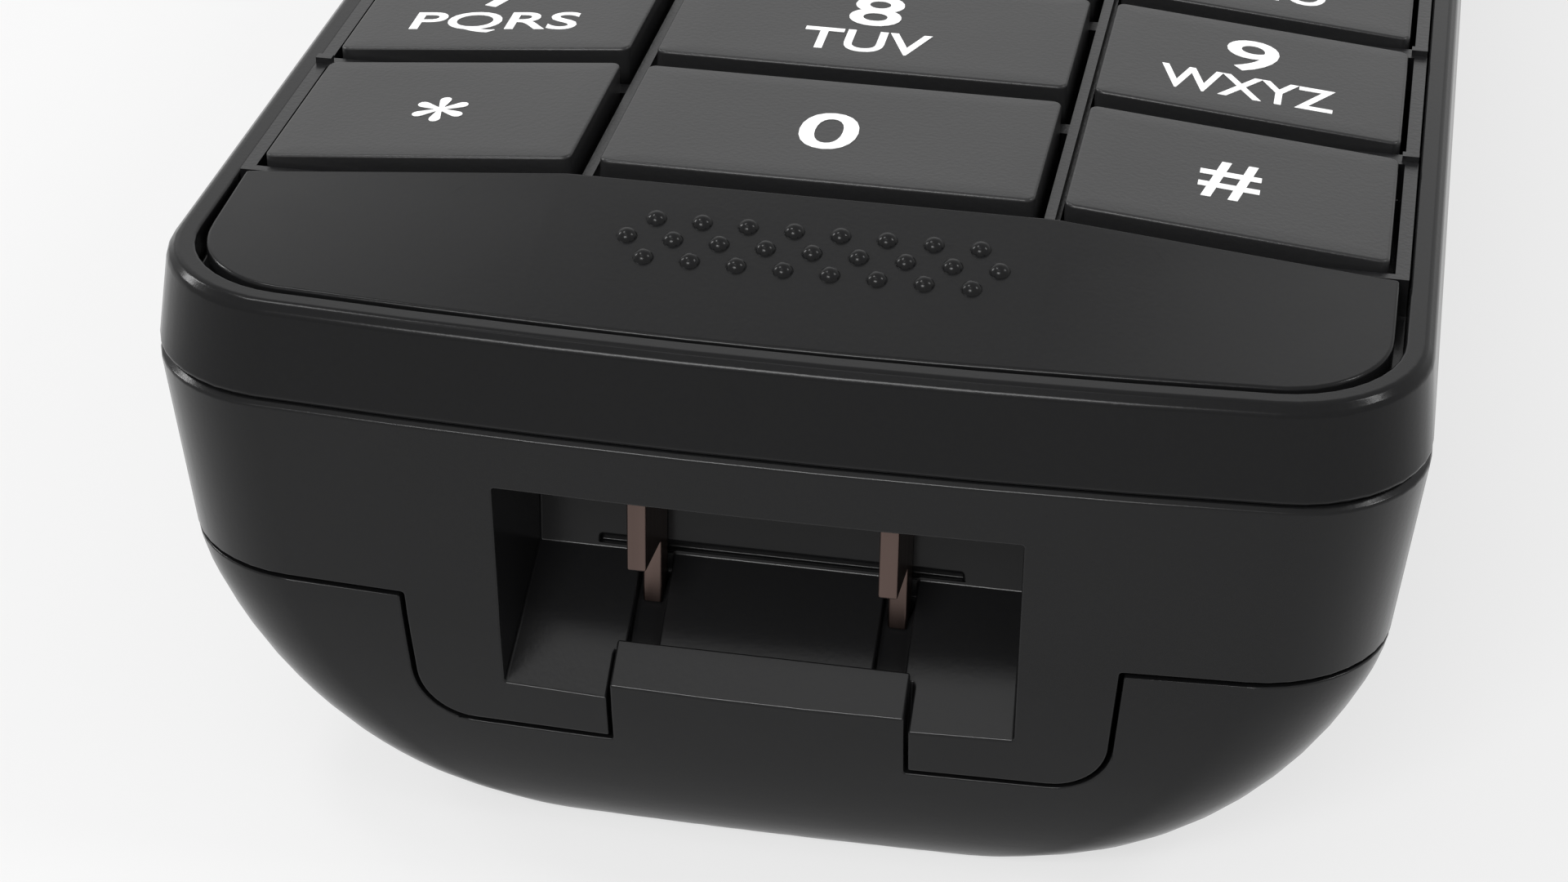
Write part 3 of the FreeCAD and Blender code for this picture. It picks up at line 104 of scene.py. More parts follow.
SOFTBOXES = (  # name, place, width, depth, brightness
    ("softbox_front", (-0.15, -0.85, 0.64), 0.4, 0.2, 22.0),
    ("softbox_overhead", (-0.15, -0.4, 0.9), 0.35, 0.14, 2.6),
    ("softbox_behind", (-0.35, 1.1, 0.72), 1.5, 0.8, 0.35),
    ("softbox_corner", (-0.45, 0.0, 1.0), 0.2, 0.2, 18.0),
    ("softbox_left", (-0.9, 0.15, 0.5), 0.14, 0.3, 20.0),
    ("softbox_right", (0.75, 0.0, 0.75), 0.14, 0.25, 20.0),
)
CAMERA_PLACE = Vector((20.52, -192.53, 85.25)) * MM
KEY_FOOT = 0.4 * MM         # a number key's foot stands out by this much, under the web
FACET_SLOPE = 0.0935        # fall of the outer keys for each metre outwards
LEGEND_SHIFT = 0.2 * MM     # legends stand this far left of the middle of their key
SIGN_DROP = 0.15 * MM       # star, zero and hash stand this far below it
LEGEND_SINK = 0.6           # and this share of the key's dish below its top
LETTER_MARGIN = 0.2 * MM
NAVIGATOR_CORNER = 6 * MM
NAVIGATOR_DISH = 0.35 * MM  # fall of the navigator from its edge to its hole
SELECT_GAP = 0.35 * MM      # around the select key
SELECT_CROWN = 0.2 * MM
SELECT_EDGE = 0.7           # share of the control keys' edge radius
ARROW = ((1.5, -0.75), (1.5, 0.75), (2.6, 0))   # millimetres from the edge of the navigator's hole
ARROW_SINK, ARROW_HEIGHT = 0.22 * MM, 0.12 * MM
EDGE_RADIUS = {  # of the edges that the softened CAD parts round off, in millimetres
    "front_shell": 0.15, "rear_shell": 0.09, "battery_cover": 0.09, "mic_panel": 0.14, "faceplate": 0.12,
    "charge_contact_left": 0.1, "charge_contact_right": 0.1, "message_lamp": 0.15, "earpiece_grille": 0.12,
}
DOME_EDGE = 0.1 * MM        # edges of the microphone panel no longer than this stay sharp
MERGE = 0.002 * MM          # points nearer than this are one
LEVEL = math.radians(0.5)   # faces that meet at less than this are one
CREASE = 30                 # degrees from which an edge is sharp
FLOOR_REACH = 2.0
FLOOR_DROP = 0.2 * MM       # the floor lies this far below the handset


# ---------------------------------------------------------------- what a user may change

def length(name, description, millimetres):
    return FloatProperty(name=name, description=description, default=millimetres * MM, unit="LENGTH",
                         precision=5)


def colour(name, description, *rgb):
    return FloatVectorProperty(name=name, description=description, default=rgb, size=3, min=0, max=1,
                               subtype="COLOR")


def angle(name, description, degrees):
    return FloatProperty(name=name, description=description, default=math.radians(degrees), subtype="ANGLE")


def factor(name, description, default):
    return FloatProperty(name=name, description=description, default=default, min=0, soft_max=1,
                         subtype="FACTOR")


class HandsetSizes(bpy.types.PropertyGroup):
    """Sizes of the keys and their legends"""
    key_edge: length("Key edge", "Radius of the rounded top edge of a number key", 0.13)
    key_corner: length("Key corner", "Corner radius of a number key", 0.38)
    key_dish: length("Key dish", "How deep the top of a number key is dished", 0.03)
    digit_height: length("Digit height", "Height of the digit on a key", 3.05)
    digit_width: length("Digit width", "Width of the digit on a key", 2.15)
    letter_height: length("Letter height", "Height of the letters on a key", 2.1)
    letter_pitch: length("Letter pitch", "Letters on a key, one from the next", 1.8)
    digit_rise: length("Digit place", "Digit above the middle of the key", 1.35)
    letter_drop: length("Letter place", "Letters below the middle of the key", 1.8)
    print_thickness: length("Print thickness", "Thickness of the printed legends", 0.02)
    crease: length("Crease", "Half width of the level middle of the front", 9.2)
    control_edge: length("Control edge", "Radius of the rounded edge of a control key", 0.5)
    control_crown: length("Control crown", "How far the top of a control key falls to its edges", 0.25)
    control_legend: length("Control legend", "Height of the lettering on the control keys", 1.25)


class HandsetColours(bpy.types.PropertyGroup):
    """Colours of the plastics, the legends, the contacts and the floor"""
    shell: colour("Shell", "Front and rear shell and battery cover", 0.0065, 0.0065, 0.0068)
    panel: colour("Panel", "Microphone panel and control panel", 0.0075, 0.0075, 0.0078)
    web: colour("Web", "Web between the keys", 0.0045, 0.0045, 0.005)
    key: colour("Key", "Number keys", 0.012, 0.012, 0.0124)
    legend: colour("Legend", "Printed digits and letters", 0.86, 0.86, 0.86)
    talk: colour("Talk", "Legend of the talk key", 0.05, 0.62, 0.14)
    off: colour("Off", "Legend of the off key", 0.75, 0.05, 0.03)
    copper: colour("Contacts", "Charging contacts", 0.14, 0.1, 0.088)
    floor: colour("Floor", "Studio floor", 0.18, 0.18, 0.18)


class HandsetStudio(bpy.types.PropertyGroup):
    """Camera and light"""
    azimuth: angle("Azimuth", "Camera to the right of the handset's lower end", 9.88)
    elevation: angle("Elevation", "Camera above the floor", 29.9)
    roll: angle("Roll", "Camera turned about its own axis", 1.02)
    lens: FloatProperty(name="Lens", description="Focal length", default=85, subtype="DISTANCE_CAMERA")
    surround: factor("Surround", "Brightness of the studio around the handset", 0.72)
    floor_glow: factor("Floor glow", "Light that comes up through the floor, as on a light table", 0.68)
    softboxes: factor("Softboxes", "Brightness of the softboxes", 1.0)


# ---------------------------------------------------------------- materials

def new_material(name):
    """A material with its shader and an object coordinate node, ready for a pattern."""
    material = bpy.data.materials.new(name)
    material.use_nodes = True
    tree = material.node_tree
    shader = tree.nodes["Principled BSDF"]
    place = tree.nodes.new("ShaderNodeTexCoord")
    return material, tree, shader, place.outputs["Object"]


def group_socket(group, name, side, kind="NodeSocketFloat", default=None):
    """Adds an input or an output to a node group."""
    socket = group.interface.new_socket(name=name, in_out=side, socket_type=kind)
    if default is not None:
        socket.default_value = default


def noise_node(tree, detail, roughness=0.5):
    """A noise texture, its scale left to a link."""
    node = tree.nodes.new("ShaderNodeTexNoise")
    node.inputs["Detail"].default_value = detail
    node.inputs["Roughness"].default_value = roughness
    return node


def moulded_grain_group():
    """Fine grain of a moulded surface: fine noise as a height, and slow clouds as a mask."""
    group = bpy.data.node_groups.new("moulded_grain", "ShaderNodeTree")
    group_socket(group, "Place", "INPUT", "NodeSocketVector")
    group_socket(group, "Grain Scale", "INPUT", default=6000.0)
    group_socket(group, "Cloud Scale", "INPUT", default=60.0)
    group_socket(group, "Height", "OUTPUT")
    group_socket(group, "Cloud", "OUTPUT")
    ends = group.nodes.new("NodeGroupInput"), group.nodes.new("NodeGroupOutput")
    grain = noise_node(group, 2)
    cloud = noise_node(group, 3, 0.6)
    for node, size in ((grain, "Grain Scale"), (cloud, "Cloud Scale")):
        group.links.new(ends[0].outputs["Place"], node.inputs["Vector"])
        group.links.new(ends[0].outputs[size], node.inputs["Scale"])
    group.links.new(grain.outputs["Fac"], ends[1].inputs["Height"])
    group.links.new(cloud.outputs["Fac"], ends[1].inputs["Cloud"])
    return group


def shared_group(maker):
    """The node group that a function makes, made once and then shared."""
    name = maker.__name__.removesuffix("_group")
    return bpy.data.node_groups.get(name) or maker()


def spread(tree, value, low, high):
    """Maps a mask to a range of values."""
    node = tree.nodes.new("ShaderNodeMapRange")
    node.inputs["To Min"].default_value = low
    node.inputs["To Max"].default_value = high
    tree.links.new(value, node.inputs["Value"])
    return node.outputs["Result"]


def between(tree, mask, first, second):
    """Mixes two colours by a mask."""
    node = tree.nodes.new("ShaderNodeMix")
    node.data_type = "RGBA"
    node.inputs["A"].default_value = (*first, 1)
    node.inputs["B"].default_value = (*second, 1)
    tree.links.new(mask, node.inputs["Factor"])
    return node.outputs["Result"]


def moulded_plastic(name, rgb, roughness, specular, grain_scale=5200, grain_depth=0.012, tone=0.12):
    """Moulded plastic with a fine grain, a faint cloudiness of its gloss and a little variation of tone."""
    material, tree, shader, place = new_material(name)
    grain = tree.nodes.new("ShaderNodeGroup")
    grain.node_tree = shared_group(moulded_grain_group)
    grain.inputs["Grain Scale"].default_value = grain_scale
    tree.links.new(place, grain.inputs["Place"])
    bump = tree.nodes.new("ShaderNodeBump")
    bump.inputs["Distance"].default_value = grain_depth * MM
    tree.links.new(grain.outputs["Height"], bump.inputs["Height"])
    tree.links.new(bump.outputs["Normal"], shader.inputs["Normal"])
    tree.links.new(spread(tree, grain.outputs["Cloud"], roughness * 0.9, roughness * 1.1),
                   shader.inputs["Roughness"])
    low, high = (tuple(part * scale for part in rgb) for scale in (1 - tone, 1 + tone))
    tree.links.new(between(tree, grain.outputs["Height"], low, high), shader.inputs["Base Color"])
    shader.inputs["Specular IOR Level"].default_value = specular
    return material


def sheet_metal(name, rgb, roughness, cloud_scale):
    """Bare sheet metal, a little tarnished in clouds, with the fine lines of its rolling."""
    material, tree, shader, place = new_material(name)
    grain = tree.nodes.new("ShaderNodeGroup")
    grain.node_tree = shared_group(moulded_grain_group)
    grain.inputs["Grain Scale"].default_value = 3000
    grain.inputs["Cloud Scale"].default_value = cloud_scale * 10
    stretched = tree.nodes.new("ShaderNodeMapping")
    stretched.inputs["Scale"].default_value = (1, 1, 0.06)
    tree.links.new(place, stretched.inputs["Vector"])
    tree.links.new(stretched.outputs["Vector"], grain.inputs["Place"])
    shader.inputs["Metallic"].default_value = 1
    dull = tuple(part * 0.55 for part in rgb)
    tree.links.new(between(tree, grain.outputs["Cloud"], dull, rgb), shader.inputs["Base Color"])
    tree.links.new(spread(tree, grain.outputs["Height"], roughness * 0.8, roughness * 1.3),
                   shader.inputs["Roughness"])
    return material


def above_level(tree, value, level):
    """A mask that is one where a value is above a level."""
    node = tree.nodes.new("ShaderNodeMath")
    node.operation = "GREATER_THAN"
    node.inputs[1].default_value = level
    tree.links.new(value, node.inputs[0])
    return node.outputs["Value"]


def cell_wrap(name, node):
    """Shrink sleeve with a pale band, and the bare metal of both ends of a cell."""
    low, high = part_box(node)
    band_start = low.y + 0.7 * (high.y - low.y)
    bare_below, bare_above = low.y + 0.4 * MM, high.y - 1.2 * MM
    material, tree, shader, place = new_material(name)
    axes = tree.nodes.new("ShaderNodeSeparateXYZ")
    tree.links.new(place, axes.inputs["Vector"])
    along = axes.outputs["Y"]
    sleeve = between(tree, above_level(tree, along, band_start), (0.02, 0.16, 0.07), (0.62, 0.64, 0.6))
    flipped = tree.nodes.new("ShaderNodeMath")
    flipped.operation = "MULTIPLY"
    flipped.inputs[1].default_value = -1
    tree.links.new(along, flipped.inputs[0])
    metal = tree.nodes.new("ShaderNodeMath")
    metal.operation = "MAXIMUM"
    tree.links.new(above_level(tree, along, bare_above), metal.inputs[0])
    tree.links.new(above_level(tree, flipped.outputs["Value"], -bare_below), metal.inputs[1])
    mix = tree.nodes.new("ShaderNodeMix")
    mix.data_type = "RGBA"
    mix.inputs["B"].default_value = (0.6, 0.6, 0.58, 1)
    tree.links.new(sleeve, mix.inputs["A"])
    tree.links.new(metal.outputs["Value"], mix.inputs["Factor"])
    tree.links.new(mix.outputs["Result"], shader.inputs["Base Color"])
    tree.links.new(metal.outputs["Value"], shader.inputs["Metallic"])
    shader.inputs["Roughness"].default_value = 0.28
    return material


def laminate(name):
    """Lacquered board with tracks: a brick pattern of lighter green lines."""
    material, tree, shader, place = new_material(name)
    tracks = tree.nodes.new("ShaderNodeTexBrick")
    tracks.inputs["Scale"].default_value = 260
    tracks.inputs["Mortar Size"].default_value = 0.06
    tracks.inputs["Color1"].default_value = (0.012, 0.09, 0.035, 1)
    tracks.inputs["Color2"].default_value = (0.014, 0.11, 0.04, 1)
    tracks.inputs["Mortar"].default_value = (0.05, 0.25, 0.09, 1)
    tree.links.new(place, tracks.inputs["Vector"])
    tree.links.new(tracks.outputs["Color"], shader.inputs["Base Color"])
    shader.inputs["Roughness"].default_value = 0.3
    return material


# ---------------------------------------------------------------- meshes

def surface(name, grid, material, closed=False):
    """A skin over a grid of points: rings joined along the first axis, each closed around.

    The first and last rings close to a point at their middle, or to each other where closed is set.
    """
    rings, around = grid.shape[:2]
    index = np.arange(rings * around).reshape(rings, around)
    if closed:
        index = np.vstack([index, index[:1]])
    here, beside = index, np.roll(index, -1, axis=1)
    quads = np.stack([here[:-1], beside[:-1], beside[1:], here[1:]], axis=-1).reshape(-1, 4)
    points = grid.reshape(-1, 3)
    faces = quads.tolist()
    if not closed:
        points = np.vstack([points, grid[0].mean(0), grid[-1].mean(0)])
        first, last = rings * around, rings * around + 1
        faces += np.stack([np.roll(index[0], -1), index[0], np.full(around, first)], -1).tolist()
        faces += np.stack([index[-1], np.roll(index[-1], -1), np.full(around, last)], -1).tolist()
    return piece_from(name, points, faces, material)


def points_of(mesh):
    """The points of a mesh as rows of an array."""
    points = np.zeros(len(mesh.vertices) * 3)
    mesh.vertices.foreach_get("co", points)
    return points.reshape(-1, 3)


def piece_from(name, points, faces, material, sharp=32):
    """A linked object with smooth faces, sharp where they meet at more than an angle."""
    mesh = bpy.data.meshes.new(name)
    mesh.from_pydata(np.asarray(points).tolist(), [], faces)
    mesh.polygons.foreach_set("use_smooth", np.ones(len(mesh.polygons), bool))
    mesh.set_sharp_from_angle(angle=math.radians(sharp))
    mesh.validate()
    mesh.materials.append(material)
    piece = bpy.data.objects.new(name, mesh)
    bpy.context.scene.collection.objects.link(piece)
    return piece


def round_rectangles(half_x, half_y, corner, inset, scale, height, steps=6):
    """Rectangles with round corners stacked into a grid.

    Every ring is drawn in by its inset, with its corner radius less by as much, then scaled about
    the middle: each point is a corner's centre plus the radius along its own direction.
    """
    quarter = np.linspace(0, np.pi / 2, steps)
    turn = np.concatenate([quarter + side * np.pi / 2 for side in range(4)])[None]
    side_x = np.repeat((1, -1, -1, 1), steps)[None]
    side_y = np.repeat((1, 1, -1, -1), steps)[None]
    inset, scale, height = (np.asarray(values, float)[:, None] for values in (inset, scale, height))
    radius = np.maximum(corner - inset, 0.2 * corner)
    x = scale * (side_x * (half_x - inset - radius) + radius * np.cos(turn))
    y = scale * (side_y * (half_y - inset - radius) + radius * np.sin(turn))
    return np.stack([x, y, np.broadcast_to(height, x.shape)], axis=-1)


def cap_profile(foot, top, edge, shrink=(0.8, 0.5, 0.2)):
    """Inset, scale and height of the rings of a cap: up the wall, round the edge, then in over the top.

    Round the edge, a quarter turn gives the inset as one less its cosine and the height as its sine.
    """
    bend = np.linspace(0, np.pi / 2, 7)
    inset = np.concatenate([[0, 0], edge * (1 - np.cos(bend)), np.full(len(shrink), edge)])
    scale = np.concatenate([[0.5, 1], np.ones(len(bend)), shrink])
    height = np.concatenate([[foot, foot], top - edge * (1 - np.sin(bend)), np.full(len(shrink), top)])
    return inset, scale, height


def fold_down(grid, crease, slope, foot, top):
    """Lets a cap follow the facets of the front.

    Beyond the crease it falls by the slope times the distance from the crease, most at its top.
    """
    share = np.clip((grid[..., 2] - foot) / (top - foot), 0, 1)
    grid[..., 2] -= share * slope * np.maximum(np.abs(grid[..., 0]) - crease, 0)


def print_on(name, text, height, centre, rise, material, slope=0.0, crease=0.0, bold=0.012,
             width=None):
    """Printed lettering as a thin solid: a text turned into a mesh, sized by its height and laid flat.

    Where a width is given the lettering is stretched across to it.
    """
    curve = bpy.data.curves.new(name, "FONT")
    curve.body = text
    curve.offset = bold
    curve.extrude = 0.01
    curve.resolution_u = 5
    holder = bpy.data.objects.new(name, curve)
    bpy.context.scene.collection.objects.link(holder)
    bpy.context.view_layer.update()
    mesh = bpy.data.meshes.new_from_object(holder.evaluated_get(bpy.context.evaluated_depsgraph_get()))
    bpy.data.objects.remove(holder)
    points = points_of(mesh)
    low, high = points.min(0), points.max(0)
    size = height / (high[1] - low[1])
    across = width / (high[0] - low[0]) if width else size
    points[:, 0] = (points[:, 0] - (low[0] + high[0]) / 2) * across + centre[0]
    points[:, 1] = (points[:, 1] - (low[1] + high[1]) / 2) * size + centre[1]
    thickness = bpy.context.scene.handset_sizes.print_thickness
    points[:, 2] = rise + (points[:, 2] > 0) * thickness
    points[:, 2] -= slope * np.maximum(np.abs(points[:, 0]) - crease, 0)
    mesh.vertices.foreach_set("co", points.ravel())
    mesh.name = name
    mesh.materials.clear()
    mesh.materials.append(material)
    piece = bpy.data.objects.new(name, mesh)
    bpy.context.scene.collection.objects.link(piece)
    return piece


def crowned(grid, half_x, half_y, foot, top, drop):
    """Lowers a cap towards its edges by the sum of two parabolas, most at its top, not at its foot."""
    share = np.clip((grid[..., 2] - foot) / (top - foot), 0, 1)
    grid[..., 2] -= drop * share * bulge(grid, half_x, half_y)


def bulge(points, half_x, half_y):
    """None in the middle and one at the corners: half the sum of the two squared distances."""
    return ((points[..., 0] / half_x) ** 2 + (points[..., 1] / half_y) ** 2) / 2


def slab(name, outline, height, thickness, material):
    """A flat outline with a little thickness."""
    count = len(outline)
    rings = np.stack([np.column_stack([outline, np.full(count, level)]) for level in
                      (height, height + thickness)])
    return surface(name, rings, material)


def finish_piece(piece, body, slot, *nodes):
    """Says what a piece rides on and which CAD nodes it stands for, and hides those nodes. The slot, which
    would say where its finish comes from, is not used.
    """
    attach(piece, body)
    if nodes:
        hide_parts(*nodes)


def paint(material, *names):
    """Gives CAD nodes a finish."""
    for name in names:
        mesh = NODES[name].data
        if not mesh.materials:
            mesh.materials.append(material)
        for index in range(len(mesh.materials)):
            mesh.materials[index] = material


def softened(node, material, slot, body="handset", shortest=0.0):
    """A copy of a CAD node, its triangles merged into faces, with a live bevel on its sharp edges.

    Edges no longer than the shortest stay sharp, such as the rim of a small dome.
    """
    work = bmesh.new()
    work.from_mesh(NODES[node].data)
    bmesh.ops.remove_doubles(work, verts=work.verts, dist=MERGE)
    bmesh.ops.dissolve_limit(work, angle_limit=LEVEL, verts=work.verts, edges=work.edges)
    work.verts.index_update()
    points = [vertex.co[:] for vertex in work.verts]
    faces = [[vertex.index for vertex in face.verts] for face in work.faces]
    chosen = {tuple(sorted(vertex.index for vertex in edge.verts)) for edge in work.edges
              if edge.calc_face_angle(0) > math.radians(CREASE) and edge.calc_length() > shortest}
    work.free()
    piece = piece_from(f"soft_{node}", points, faces, material, sharp=CREASE)
    weights = piece.data.attributes.new("bevel_weight_edge", "FLOAT", "EDGE")
    sharp = [tuple(sorted(edge.vertices)) in chosen for edge in piece.data.edges]
    weights.data.foreach_set("value", np.array(sharp, float))
    bevel = piece.modifiers.new("round_edges", "BEVEL")
    bevel.width = EDGE_RADIUS[node] * MM
    bevel.segments = 3
    bevel.limit_method = "WEIGHT"
    bevel.use_clamp_overlap = False
    bevel.harden_normals = True
    bevel.miter_outer = "MITER_ARC"
    finish_piece(piece, body, slot, node)


# ---------------------------------------------------------------- operators

class HANDSET_OT_number_keys(bpy.types.Operator):
    """Number keys: caps with rounded edges, dished by two crossed parabolas, folded along the crease"""
    bl_idname = "handset.number_keys"
    bl_label = "Number keys"

    def execute(self, context):
        sizes, colours = context.scene.handset_sizes, context.scene.handset_colours
        finish = moulded_plastic("key_plastic", colours.key, 0.34, 0.34, grain_depth=0.01)
        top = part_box("key_5")[1].z
        for node in KEYS:
            low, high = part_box(node)
            half_x, half_y = (high.x - low.x) / 2, (high.y - low.y) / 2 - KEY_FOOT
            profile = cap_profile(low.z, top, sizes.key_edge)
            grid = round_rectangles(half_x, half_y, sizes.key_corner, *profile)
            inside = np.clip(1 - (grid[..., :2] / (half_x, half_y)) ** 2, 0, 1).prod(axis=-1)
            grid[..., 2] -= sizes.key_dish * inside * (grid[..., 2] > top - MERGE)
            grid[..., 0] += (low.x + high.x) / 2
            grid[..., 1] += (low.y + high.y) / 2
            fold_down(grid, sizes.crease, FACET_SLOPE, low.z, top)
            finish_piece(surface(f"cap_{node}", grid, finish), node, "key_black", node)
        return {"FINISHED"}


class HANDSET_OT_number_legends(bpy.types.Operator):
    """Digits and letters printed on the number keys"""
    bl_idname = "handset.number_legends"
    bl_label = "Number legends"

    def execute(self, context):
        sizes, colours = context.scene.handset_sizes, context.scene.handset_colours
        ink = moulded_plastic("legend_ink", colours.legend, 0.45, 0.3, grain_depth=0.004, tone=0.02)
        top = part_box("key_5")[1].z
        for node, (digit, letters) in KEYS.items():
            low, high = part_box(node)
            x, y = (low.x + high.x) / 2 - LEGEND_SHIFT, (low.y + high.y) / 2
            rise = top - LEGEND_SINK * sizes.key_dish
            width, height = SYMBOLS.get(digit, (sizes.digit_width, sizes.digit_height))
            place = y + (sizes.digit_rise if letters or digit == "1" else -SIGN_DROP)
            piece = print_on(f"legend_{node}", digit, height, (x, place), rise, ink, FACET_SLOPE,
                             sizes.crease, width=width)
            finish_piece(piece, node, "diffuser")
            if letters:
                width = sizes.letter_pitch * len(letters) - LETTER_MARGIN
                piece = print_on(f"letters_{node}", letters, sizes.letter_height,
                                 (x, y - sizes.letter_drop), rise, ink, FACET_SLOPE, sizes.crease,
                                 width=width)
                finish_piece(piece, node, "diffuser")
        return {"FINISHED"}


class HANDSET_OT_control_keys(bpy.types.Operator):
    """Talk, off, function and soft keys: crowned caps with their printed legends"""
    bl_idname = "handset.control_keys"
    bl_label = "Control keys"

    def execute(self, context):
        sizes, colours = context.scene.handset_sizes, context.scene.handset_colours
        finish = moulded_plastic("control_plastic", colours.key, 0.34, 0.5, grain_depth=0.005)
        inks = {"key_talk": ("key_green", colours.talk), "key_off": ("key_red", colours.off)}
        for node, (corner, legend) in CONTROL_KEYS.items():
            low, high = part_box(node)
            centre = (low + high) / 2
            half_x, half_y = (high.x - low.x) / 2, (high.y - low.y) / 2
            top = high.z - sizes.print_thickness
            profile = cap_profile(low.z, top, sizes.control_edge)
            grid = round_rectangles(half_x, half_y, corner * MM, *profile)
            crowned(grid, half_x, half_y, low.z, top, sizes.control_crown)
            grid[..., :2] += centre[:2]
            slot, ink_colour = inks.get(node, ("diffuser", colours.legend))
            key_slot = slot if node in inks else "key_black"
            finish_piece(surface(f"cap_{node}", grid, finish), node, key_slot, node)
            ink = moulded_plastic(f"ink_{node}", ink_colour, 0.45, 0.3, grain_depth=0.002, tone=0.02)
            width, height = DASH if legend == "-" else (None, sizes.control_legend)
            piece = print_on(f"legend_{node}", legend, height, (0, 0), top, ink, width=width)
            points = points_of(piece.data)
            points[:, 2] -= sizes.control_crown * bulge(points, half_x, half_y)
            points[:, :2] += centre[:2]
            piece.data.vertices.foreach_set("co", points.ravel())
            finish_piece(piece, node, slot)
        return {"FINISHED"}


class HANDSET_OT_navigator(bpy.types.Operator):
    """Navigator: a plate that falls as a sine towards its round hole, its arrows and the select key"""
    bl_idname = "handset.navigator"
    bl_label = "Navigator"

    def execute(self, context):
        sizes, colours = context.scene.handset_sizes, context.scene.handset_colours
        finish = moulded_plastic("navigator_plastic", colours.key, 0.3, 0.5, grain_depth=0.004)
        ink = moulded_plastic("navigator_ink", colours.legend, 0.45, 0.3, grain_depth=0.002, tone=0.02)
        low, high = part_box("navigator")
        centre, half = (low + high) / 2, (high.x - low.x) / 2
        inner_low, inner_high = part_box("key_select")
        radius = (inner_high.x - inner_low.x) / 2
        hole = radius + SELECT_GAP
        profile = cap_profile(low.z, high.z, sizes.control_edge, shrink=())
        outer = round_rectangles(half, half, NAVIGATOR_CORNER, *profile)[1:]
        for _ in range(2):
            halfway = (outer + np.roll(outer, -1, axis=1)) / 2
            outer = np.stack([outer, halfway], axis=2).reshape(len(outer), -1, 3)
        turn = np.arctan2(outer[-1, :, 1], outer[-1, :, 0])
        circle = np.stack([np.cos(turn), np.sin(turn), np.zeros_like(turn)], -1) * hole
        share = np.linspace(0, 1, 7)[1:, None, None]
        flat = outer[-1] * (1 - share) + (circle + (0, 0, high.z)) * share
        flat[..., 2] -= NAVIGATOR_DISH * np.sin(share[..., 0] * np.pi / 2)
        wall = circle + (0, 0, low.z)
        grid = np.concatenate([outer, flat, wall[None]])
        grid[..., :2] += centre[:2]
        plate = surface("cap_navigator", grid, finish, closed=True)
        finish_piece(plate, "navigator", "key_black", "navigator")
        for index in range(4):
            lean = index * math.pi / 2
            along = np.array([math.cos(lean), math.sin(lean)])
            across = np.array([-math.sin(lean), math.cos(lean)])
            arrow = np.array(ARROW) * MM + (hole, 0)
            outline = arrow @ np.array([along, across]) + centre[:2]
            mark = slab(f"arrow_{index}", outline, high.z - ARROW_SINK, ARROW_HEIGHT, ink)
            finish_piece(mark, "navigator", "diffuser")
        profile = cap_profile(inner_low.z, inner_high.z, sizes.control_edge * SELECT_EDGE)
        select = round_rectangles(radius, radius, radius, *profile)
        crowned(select, hole, hole, inner_low.z, inner_high.z, SELECT_CROWN)
        select[..., :2] += centre[:2]
        finish_piece(surface("cap_key_select", select, finish), "key_select", "key_black", "key_select")
        rise = inner_high.z - sizes.print_thickness
        piece = print_on("legend_select", "OK", sizes.control_legend, centre, rise, ink)
        finish_piece(piece, "key_select", "diffuser")
        return {"FINISHED"}


class HANDSET_OT_display(bpy.types.Operator):
    """Display: the lens, the liquid crystal under it and its segments"""
    bl_idname = "handset.display"
    bl_label = "Display"

    def execute(self, context):
        glass, tree, shader, place = new_material("lens_glass")
        grain = tree.nodes.new("ShaderNodeGroup")
        grain.node_tree = shared_group(moulded_grain_group)
        tree.links.new(place, grain.inputs["Place"])
        tree.links.new(spread(tree, grain.outputs["Cloud"], 0.02, 0.09), shader.inputs["Roughness"])
        shader.inputs["Base Color"].default_value = (0.8, 0.83, 0.84, 1)
        shader.inputs["Transmission Weight"].default_value = 1
        shader.inputs["IOR"].default_value = 1.49
        paint(glass, "display_lens")
        crystal = moulded_plastic("liquid_crystal", (0.3, 0.34, 0.27), 0.3, 0.4, grain_scale=2500,
                                  grain_depth=0.001, tone=0.05)
        paint(crystal, "lcd_module")
        ink = moulded_plastic("segment_ink", (0.02, 0.025, 0.03), 0.4, 0.3, grain_depth=0.001)
        low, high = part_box("lcd_module")
        centre = (low + high) / 2
        for name, text, height, x, y in SEGMENTS:
            place = centre.x + x * MM, centre.y + y * MM
            piece = print_on(name, text, height * MM, place, high.z, ink, bold=0)
            finish_piece(piece, "handset", "display_glass")
        return {"FINISHED"}


